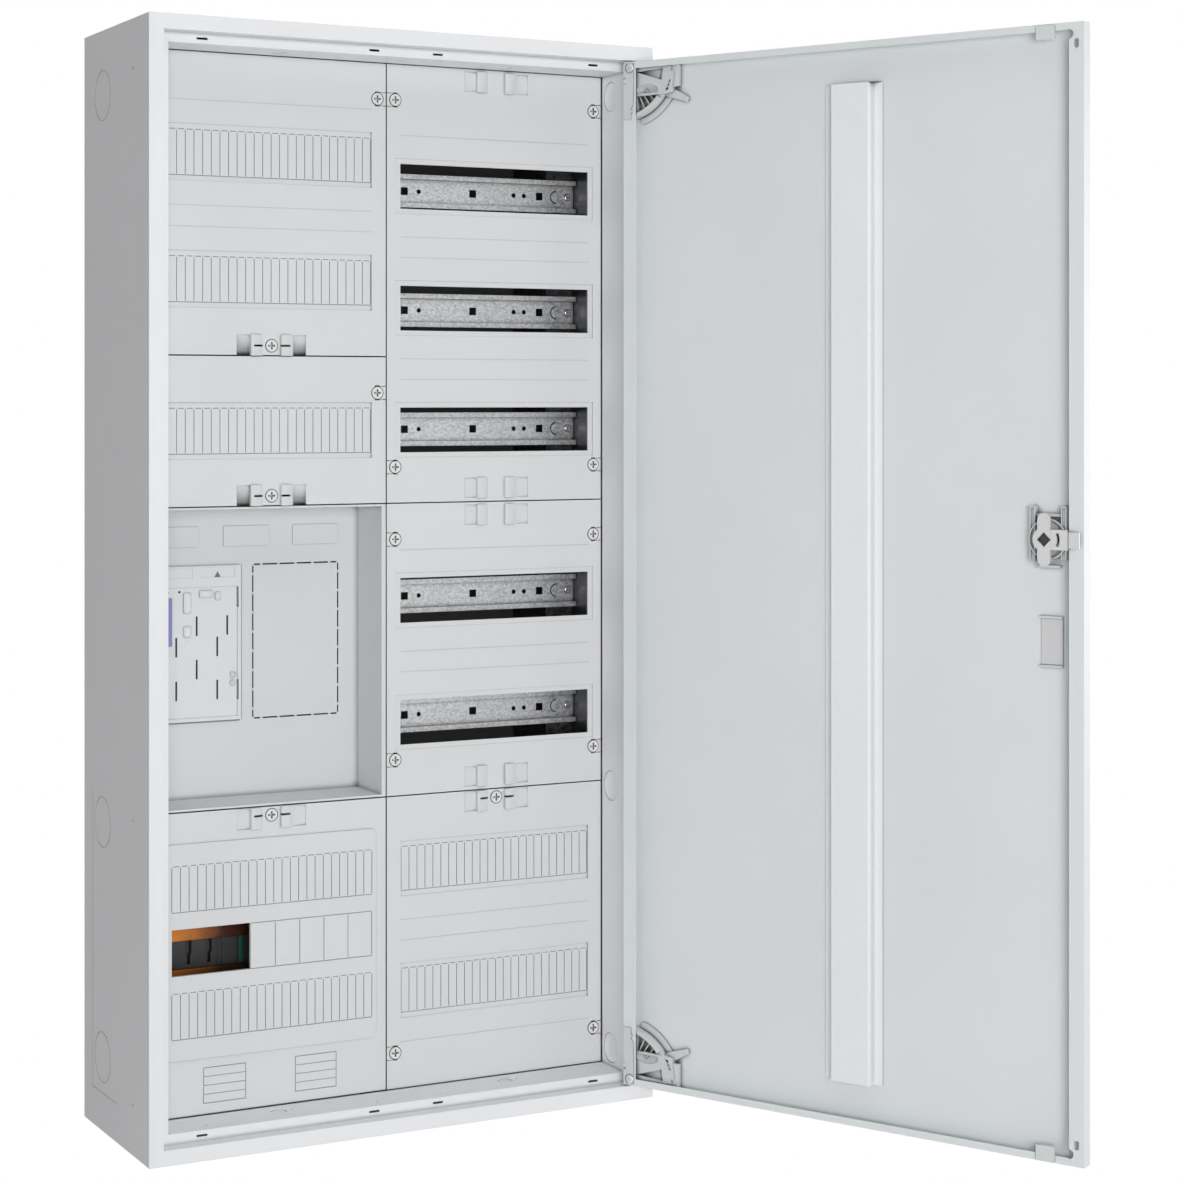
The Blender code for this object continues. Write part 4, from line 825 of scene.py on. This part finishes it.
def door_panel():
    pan = soften(PAN, 0.4 * MM, 2)
    tools = []
    for end in (-1, 1):
        edge_z = PAN_HIGH.z * end
        hole = block(around(PAN_LOW.x + FREE_LIP / 2, LIP_HOLE_W / 2), (LIP_FACE_Y - 3 * MM, LIP_FACE_Y + MM),
                     around(edge_z - end * LIP_HOLE_Z, LIP_HOLE_L / 2))
        tools.append(edit(hole, lambda face: abs(face.normal.z) > 0.9,
                          (bpy.ops.mesh.bevel, {"offset": LIP_HOLE_W * 0.4, "segments": 4})))
        tools.append(rod((PAN_LOW.x + FREE_LIP, LIP_FACE_Y, edge_z - end * NOTCH_Z), NOTCH_R, PUNCH, "Y", 32))
    cut(pan, tools)
    done(swung(pan), "door_panel", DOOR_PAINT, "door", "coated_door", "door_pan")


def door_bar():
    bar = soften(shut("door_stiffener"), 1.0 * MM, 4)
    done(swung(bar), "door_bar", LIT_BAR_PAINT, "door", "coated_door", "door_stiffener")


# hinge corner: places and outlines in millimetres in from the hinge and down from the corner, sweeps in degrees
CORNER_DOWN, STRIP_T = 3 * MM, 1.3 * MM
GUSSET_R, RIM_R, FLARE_R = 57, 52.5, 64
GUSSET_SWEEP, RIM_SWEEP, CAVITY_SWEEP, FLARE_SWEEP = (4, 80), (40, 78), (41, 74), (30, 76)
CAVITY_END = ((14, 33), (40, 31))
WEDGE = ((13.5, 8.0), (46, 5.5), (45.5, 18))
HOLLOW_AT, HOLLOW_SIZE = (27, 27), (27 * MM, 9 * MM, 12 * MM)
SPOKES, SPOKE_START, SPOKE_END, SPOKE_HALF = (48, 56, 64), 34, 53, 0.8
CROSS_ROD_AT, CROSS_ROD_R, CROSS_ROD_L = (27, 31.5), 1.5 * MM, 38 * MM
SHOULDER = ((46, -1), (63, -1), (63, 25), (55, 27), (46, 25))
FOOT = ((46, 24), (55, 26), (74, 37), (72, 42), (52, 36), (44, 33))
BRIDGE = ((45, 9), (60, 9), (57, 31), (44, 33))
BRIDGE_SLOTS = ((53.0, 20.5), (51.4, 24.3), (49.9, 28.1))
BRIDGE_SLOT = ((-3.2, -0.4), (2.6, -2.4), (3.2, -0.2), (-2.6, 1.8))
STRIP = ((0.8, -1.5), (13.3, -1.5), (12.5, 42), (10, 46), (10, 57), (0.8, 57))
OVAL_AT, OVAL_SIZE = (2.5, 17), (4 * MM, 8 * MM, 8 * MM)
BOLT_AT, BOLT_R, BOLT_L = (6.8, 49), 1.35 * MM, 10.5 * MM
SCREW_AT, SCREW_R, SCREW_KEY_R = (8.5, 3.6), 4.2 * MM, 1.9 * MM
SCREW_SEAT_OUT, SCREW_SEAT_IN = 5.9 * MM, 4.4 * MM


def hinge_corner(word, end):
    """Corner block of the door: screwed strip, ribbed gusset with a rim, shoulder with slots and a pin."""
    corner = Vector((PAN_HIGH.x, 0.0, end * (PAN_HIGH.z - CORNER_DOWN)))
    inner = SKIN_Y + 0.3 * MM
    rim_y, plate_y = LIP_FACE_Y - 1.6 * MM, LIP_FACE_Y - 4.5 * MM

    def at(u, down):
        """X and Z of a place."""
        return corner.x - u * MM, corner.z - end * down * MM

    def spot(place, y):
        x, z = at(*place)
        return x, y, z

    def sweep(radius, start, stop):
        return [at(u, down) for u, down in arc((0, 0), radius, start, stop, 14)]

    def plate(places, start, stop):
        return slab([at(*place) for place in places], "Y", start, stop)

    gusset = slab([at(0, 0)] + sweep(GUSSET_R, *GUSSET_SWEEP), "Y", inner, plate_y)
    cavity = slab(sweep(RIM_R, *CAVITY_SWEEP) + [at(*place) for place in CAVITY_END], "Y",
                  plate_y - 6.5 * MM, plate_y + MM)
    cut(gusset, [cavity, plate(WEDGE, plate_y - 5.5 * MM, plate_y + MM)])
    cut(gusset, [ball(spot(HOLLOW_AT, plate_y + 0.6 * MM), HOLLOW_SIZE)])
    rim = slab(sweep(GUSSET_R, *RIM_SWEEP) + sweep(RIM_R, *reversed(RIM_SWEEP)), "Y", inner, rim_y)
    flare = slab(sweep(FLARE_R, *FLARE_SWEEP) + sweep(GUSSET_R + 0.2, *reversed(FLARE_SWEEP)), "Y", inner,
                 inner + 2.2 * MM)
    parts = [soften(gusset, 0.5 * MM, 2), soften(rim, 0.6 * MM, 3), soften(flare, 0.8 * MM, 3)]
    for angle in SPOKES:
        (u0, down0), (u1, down1) = [(r * math.cos(math.radians(angle)), r * math.sin(math.radians(angle)))
                                    for r in (SPOKE_START, SPOKE_END)]
        spoke = plate([(u0 - SPOKE_HALF, down0), (u0 + SPOKE_HALF, down0), (u1 + SPOKE_HALF, down1),
                       (u1 - SPOKE_HALF, down1)], inner + 0.5 * MM, plate_y - 1.5 * MM)
        parts.append(soften(spoke, 0.3 * MM, 2))
    cross_rod = rod(spot(CROSS_ROD_AT, plate_y - 0.4 * MM), CROSS_ROD_R, CROSS_ROD_L, "X", 20)
    slots = [plate([(u + a, down + b) for a, b in BRIDGE_SLOT], inner + 0.4 * MM, plate_y + MM)
             for u, down in BRIDGE_SLOTS]
    parts += [soften(cross_rod, 0.5 * MM, 3), soften(plate(SHOULDER, inner, plate_y - MM), 0.4 * MM, 2),
              soften(plate(FOOT, inner, plate_y - 4 * MM), 0.5 * MM, 2),
              soften(cut(plate(BRIDGE, inner, plate_y + 0.3 * MM), slots), 0.3 * MM, 2)]
    strip = plate(STRIP, LIP_FACE_Y + 0.1 * MM, LIP_FACE_Y + STRIP_T)
    seat = round_groove(spot(SCREW_AT, LIP_FACE_Y + 1.4 * MM), SCREW_SEAT_OUT, SCREW_SEAT_IN, 1.0 * MM, "Y", 36)
    parts.append(soften(cut(strip, [ball(spot(OVAL_AT, LIP_FACE_Y), OVAL_SIZE), seat]), 0.25 * MM, 2))
    parts.append(soften(rod(spot(BOLT_AT, LIP_FACE_Y + 0.1 * MM), BOLT_R, BOLT_L, "X", 20), 0.5 * MM, 3))
    parts.append(shut(f"hinge_corner_{word}"))
    done(swung(joined(parts)), f"hinge_block_{word}", NYLON, "door", "hinge_nylon", f"hinge_corner_{word}")
    screw = soften(rod(spot(SCREW_AT, LIP_FACE_Y + 1.1 * MM), SCREW_R, 1.0 * MM, "Y", 36), 0.45 * MM, 3)
    cut(screw, [rod(spot(SCREW_AT, LIP_FACE_Y + 1.6 * MM), SCREW_KEY_R, 1.6 * MM, "Y", 6)])
    done(swung(screw), f"hinge_screw_{word}", SCREW_STEEL, "door", "latch_metal")


# ---------- latch

HOUSING_LOW, HOUSING_HIGH = shut_box("latch_housing")
LATCH_AT = (HOUSING_LOW + HOUSING_HIGH) / 2
CAM_Y = HOUSING_HIGH.y + 0.3 * MM
TONGUE_END = shut_box("latch_cam")[0].x
# blocks about the latch's axis, in millimetres: X, height over the door and Z
SEAT_PLATE, SEAT_BRIDGE = ((-15, 15), (0, 1.6), (-18, 24)), ((-13, 13), (1, 5), (21, 24))
SEAT_CATCH = ((-11, 12), (0, 6), (-27, -24.5))
SEAT_RAILS = (((13.2, 19), (0, 8), (-21, 31)), ((-18.8, -13), (0, 8), (-19, 31)))
SEAT_CHANNELS = (((14.7, 17.5), (6.5, 9), (-22, 29.5)), ((-17.3, -14.5), (6.5, 9), (-20, 29.5)))
SEAT_HOLE_R, COLLAR_OUT, COLLAR_IN, COLLAR_T = 8 * MM, 19.5 * MM, 18 * MM, 7 * MM
LEVER_W, LEVER_L, LEVER_T, HUB_R, HUB_T = 13 * MM, 50 * MM, 2.6 * MM, 11.5 * MM, 2.1 * MM
ARM_STEP, ARM_HALF, TONGUE_HALF = 23 * MM, 9.5 * MM, 7.6 * MM
ARM_Y, TONGUE_Y = (0.1 * MM, 2.3 * MM), (3.6 * MM, 5.6 * MM)
SOCKET_HALF, LEVER_SLOT_OUT, LEVER_SLOT_IN = 5 * MM, 16 * MM, 13.2 * MM


def latch_seat():
    """Base plate with two guide rails, a round collar and the clip under it."""
    base = HOUSING_LOW.y

    def about(*ranges):
        return block(*[[middle + edge * MM for edge in ends]
                       for middle, ends in zip((LATCH_AT.x, base, LATCH_AT.z), ranges)])

    def ring_bar(radius, up, length, sides):
        return rod((LATCH_AT.x, base + up * MM, LATCH_AT.z), radius, length, "Y", sides)

    collar = cut(ring_bar(COLLAR_OUT, 5.5, COLLAR_T, 48), [ring_bar(COLLAR_IN, 5, 12 * MM, 48)])
    parts = [soften(cut(about(*SEAT_PLATE), [ring_bar(SEAT_HOLE_R, 0, 12 * MM, 40)]), 0.5 * MM, 2),
             soften(about(*SEAT_BRIDGE), 0.5 * MM), soften(collar, 0.4 * MM),
             soften(about(*SEAT_CATCH), 0.5 * MM)]
    parts += [soften(cut(about(*rail), [about(*channel)]), 0.45 * MM, 2)
              for rail, channel in zip(SEAT_RAILS, SEAT_CHANNELS)]
    done(swung(joined(parts)), "latch_seat", NYLON, "door", "hinge_nylon", "latch_housing")


def latch_lever():
    """Lever with rounded ends, hub with a square socket, and the stepped tongue with its curved slot."""
    x, z, y = LATCH_AT.x, LATCH_AT.z, CAM_Y
    half, step_x = (LEVER_L - LEVER_W) / 2, x - ARM_STEP
    lever = slab(arc((x, z + half), LEVER_W / 2, 0, 180, 14) + arc((x, z - half), LEVER_W / 2, 180, 360, 14),
                 "Y", y, y + LEVER_T)
    (arm_low, arm_high), (tongue_low, tongue_high) = [[y + up for up in pair] for pair in (ARM_Y, TONGUE_Y)]
    arm = slab([(x, arm_low), (step_x, arm_low), (step_x - 3 * MM, tongue_low), (TONGUE_END, tongue_low),
                (TONGUE_END, tongue_high), (step_x - 4 * MM, tongue_high), (step_x - MM, arm_high),
                (x, arm_high)], "Z", *around(z, ARM_HALF))
    cut(arm, [block((TONGUE_END - MM, step_x - 1.5 * MM), (y - MM, y + 8 * MM),
                    (z + way * TONGUE_HALF, z + way * 12 * MM)) for way in (1, -1)])
    welded(lever, [rod((x, y + HUB_T / 2, z), HUB_R, HUB_T, "Y", 40)])
    welded(lever, [arm])
    socket = block(around(0.0, SOCKET_HALF), (-4 * MM, 6 * MM), around(0.0, SOCKET_HALF))
    socket.rotation_euler = (0.0, math.radians(45), 0.0)
    socket.location = (x, y, z)
    slot = slab(arc((x, z), LEVER_SLOT_OUT, 155, 205, 8) + arc((x, z), LEVER_SLOT_IN, 205, 155, 8), "Y",
                y - MM, y + 5 * MM)
    soften(cut(lever, [settle(socket), slot]), 0.35 * MM, 2)
    done(swung(lever), "latch_lever", LATCH_CAST, "latch", "latch_metal", "latch_cam")


def latch_insert():
    insert = soften(shut("latch_barrel"), 0.35 * MM, 3)
    done(swung(insert), "latch_insert", INSERT_DARK, "latch", "latch_metal", "latch_barrel")


CARD_T, CARD_IN, POCKET_CLIP_H, POCKET_CLIP_T, POCKET_EDGE_T = 1.1 * MM, 2.6 * MM, 2.4 * MM, 2.8 * MM, 1.8 * MM
PAD_H, PAD_SIDE_Z, PAD_SIDE_OUT = 14 * MM, (8.2 * MM, 13.4 * MM), 6 * MM


def label_pocket():
    """A clear pocket between two clips."""
    low, high = shut_box("label_holder")
    base = low.y
    card = block((low.x + MM, high.x - 2.5 * MM), (base, base + CARD_T), (low.z + CARD_IN, high.z - CARD_IN))
    done(swung(soften(card, 0.3 * MM)), "label_card", LABEL_CLEAR, "door", "label_plastic")
    inner_low, inner_high = low.z + POCKET_CLIP_H, high.z - POCKET_CLIP_H
    clips = [soften(block((low.x, high.x), (base, base + POCKET_CLIP_T), ends), 0.4 * MM)
             for ends in ((low.z, inner_low), (inner_high, high.z))]
    clips.append(soften(block((low.x, low.x + 0.8 * MM), (base, base + POCKET_EDGE_T), (inner_low, inner_high)),
                        0.2 * MM))
    done(swung(joined(clips)), "label_clips", NYLON, "door", "label_plastic", "label_holder")


def buffers():
    for word, end in (("top", 1), ("bottom", -1)):
        low, high = shut_box(f"door_buffer_{word}")
        edge = max(abs(low.z), abs(high.z))
        pad = block((low.x, high.x), (low.y, high.y), (end * edge, end * (edge - PAD_H)))
        side = block((low.x + 2 * MM, high.x - 2 * MM), (low.y - PAD_SIDE_OUT, low.y + 0.2 * MM),
                     [end * (edge - down) for down in PAD_SIDE_Z])
        piece = joined([soften(pad, 0.5 * MM, 3), soften(side, 0.6 * MM, 3)])
        done(swung(piece), f"soft_stop_{word}", BUFFER_SOFT, "door", "buffer_rubber", f"door_buffer_{word}")


# ---------- CAD nodes that stay


def dress(finish, *nodes):
    for node in nodes:
        frame["nodes"][node].data.materials.clear()
        frame["nodes"][node].data.materials.append(finish)


# ---------- set: floor, light and camera

FLOOR_Z = SHELL_LOW.z - 3 * MM
CAMERA_AT, CAMERA_TURN = (-1.0685, -2.5694, 0.1812), 27.748
FOCAL, SHIFT = 78.99, (0.0185, -0.1617)
SKY_STRENGTH = 0.12
# each lamp's place, aim, size and power
LAMPS = {
    "key": ((-1.05, -4.0, 0.1), (0.1, 0.0, -0.05), 1.7, 86),
    "low_fill": ((0.2, -2.6, -0.45), (0.1, 0.0, 0.0), 1.4, 3),
    "over_floor": ((0.3, -1.6, 2.6), (0.2, -1.0, -0.55), 2.4, 22),
    "left_low": ((-2.4, -1.5, -0.5), (0.0, -0.2, -0.5), 0.7, 6),
    "right_edge": ((3.0, -1.2, 0.1), (0.5, -0.6, 0.0), 1.0, 22),
}


def white_where_seen(nodes, links, plain, shader_type, target):
    """Plain white for rays from the camera, from gloss and through glass, and the plain shader for the rest."""
    path = nodes.new("ShaderNodeLightPath")
    seen = path.outputs["Is Camera Ray"]
    for ray in ("Is Glossy Ray", "Is Transmission Ray"):
        either = nodes.new("ShaderNodeMath")
        either.operation = "MAXIMUM"
        links.new(seen, either.inputs[0])
        links.new(path.outputs[ray], either.inputs[1])
        seen = either.outputs[0]
    white = nodes.new(shader_type)
    white.inputs["Color"].default_value = (1.0, 1.0, 1.0, 1.0)
    white.inputs["Strength"].default_value = 1.0
    mix = nodes.new("ShaderNodeMixShader")
    links.new(seen, mix.inputs["Fac"])
    links.new(plain.outputs[0], mix.inputs[1])
    links.new(white.outputs[0], mix.inputs[2])
    links.new(mix.outputs[0], target)


def stage_set():
    deselect()
    bpy.ops.mesh.primitive_plane_add(size=14.0, location=(0.0, 0.0, FLOOR_Z))
    floor = bpy.context.object
    floor.name = "floor"
    made, nodes, links, shader = finish_named("floor_white")
    shader.inputs["Base Color"].default_value = (0.9, 0.9, 0.9, 1.0)
    shader.inputs["Roughness"].default_value = 0.8
    white_where_seen(nodes, links, shader, "ShaderNodeEmission", nodes["Material Output"].inputs["Surface"])
    floor.data.materials.append(made)
    world = bpy.data.worlds.new("studio")
    bpy.context.scene.world = world
    world.use_nodes = True
    nodes, links = world.node_tree.nodes, world.node_tree.links
    sky = nodes["Background"]
    sky.inputs["Color"].default_value = (0.93, 0.96, 1.0, 1.0)
    sky.inputs["Strength"].default_value = SKY_STRENGTH
    white_where_seen(nodes, links, sky, "ShaderNodeBackground", nodes["World Output"].inputs["Surface"])


def lamp(name, place, aim, size, power):
    light = bpy.data.lights.new(name, "AREA")
    light.shape = "SQUARE"
    light.size = size
    light.energy = power
    holder = bpy.data.objects.new(name, light)
    holder.location = place
    holder.rotation_euler = (Vector(aim) - Vector(place)).to_track_quat("-Z", "Y").to_euler()
    bpy.context.scene.collection.objects.link(holder)


def studio():
    for name, settings in LAMPS.items():
        lamp(name, *settings)
    view = bpy.data.cameras.new("camera")
    view.sensor_width = 36.0
    view.lens = FOCAL
    view.shift_x, view.shift_y = SHIFT
    view.clip_end = 50.0
    holder = bpy.data.objects.new("camera", view)
    holder.location = CAMERA_AT
    holder.rotation_euler = (math.radians(90), 0.0, math.radians(-CAMERA_TURN))
    bpy.context.scene.collection.objects.link(holder)
    bpy.context.scene.camera = holder
    bpy.context.scene.view_settings.view_transform = "Standard"


# ---------- assembly

shell_walls()
folded_front()
knock_out_dishes()
for cover_plan in COVERS:
    moulded_cover(*cover_plan)
turn_locks()
rails()
meter_tray_moulding()
adapter()
busbar_place()
door_panel()
door_bar()
for corner_word, corner_end in (("top", 1), ("bottom", -1)):
    hinge_corner(corner_word, corner_end)
latch_seat()
latch_lever()
latch_insert()
label_pocket()
buffers()
# the uprights take near-black zinc: painted shade
dress(SHADED_PROFILE_ZINC, "upright_left", "upright_centre", "upright_right")
dress(PAINT, "cable_plate_top", "cable_plate_bottom")
dress(PIN_STEEL, "hinge_pin_top", "hinge_pin_bottom", "pin_bearing_top", "pin_bearing_bottom")
stage_set()
studio()
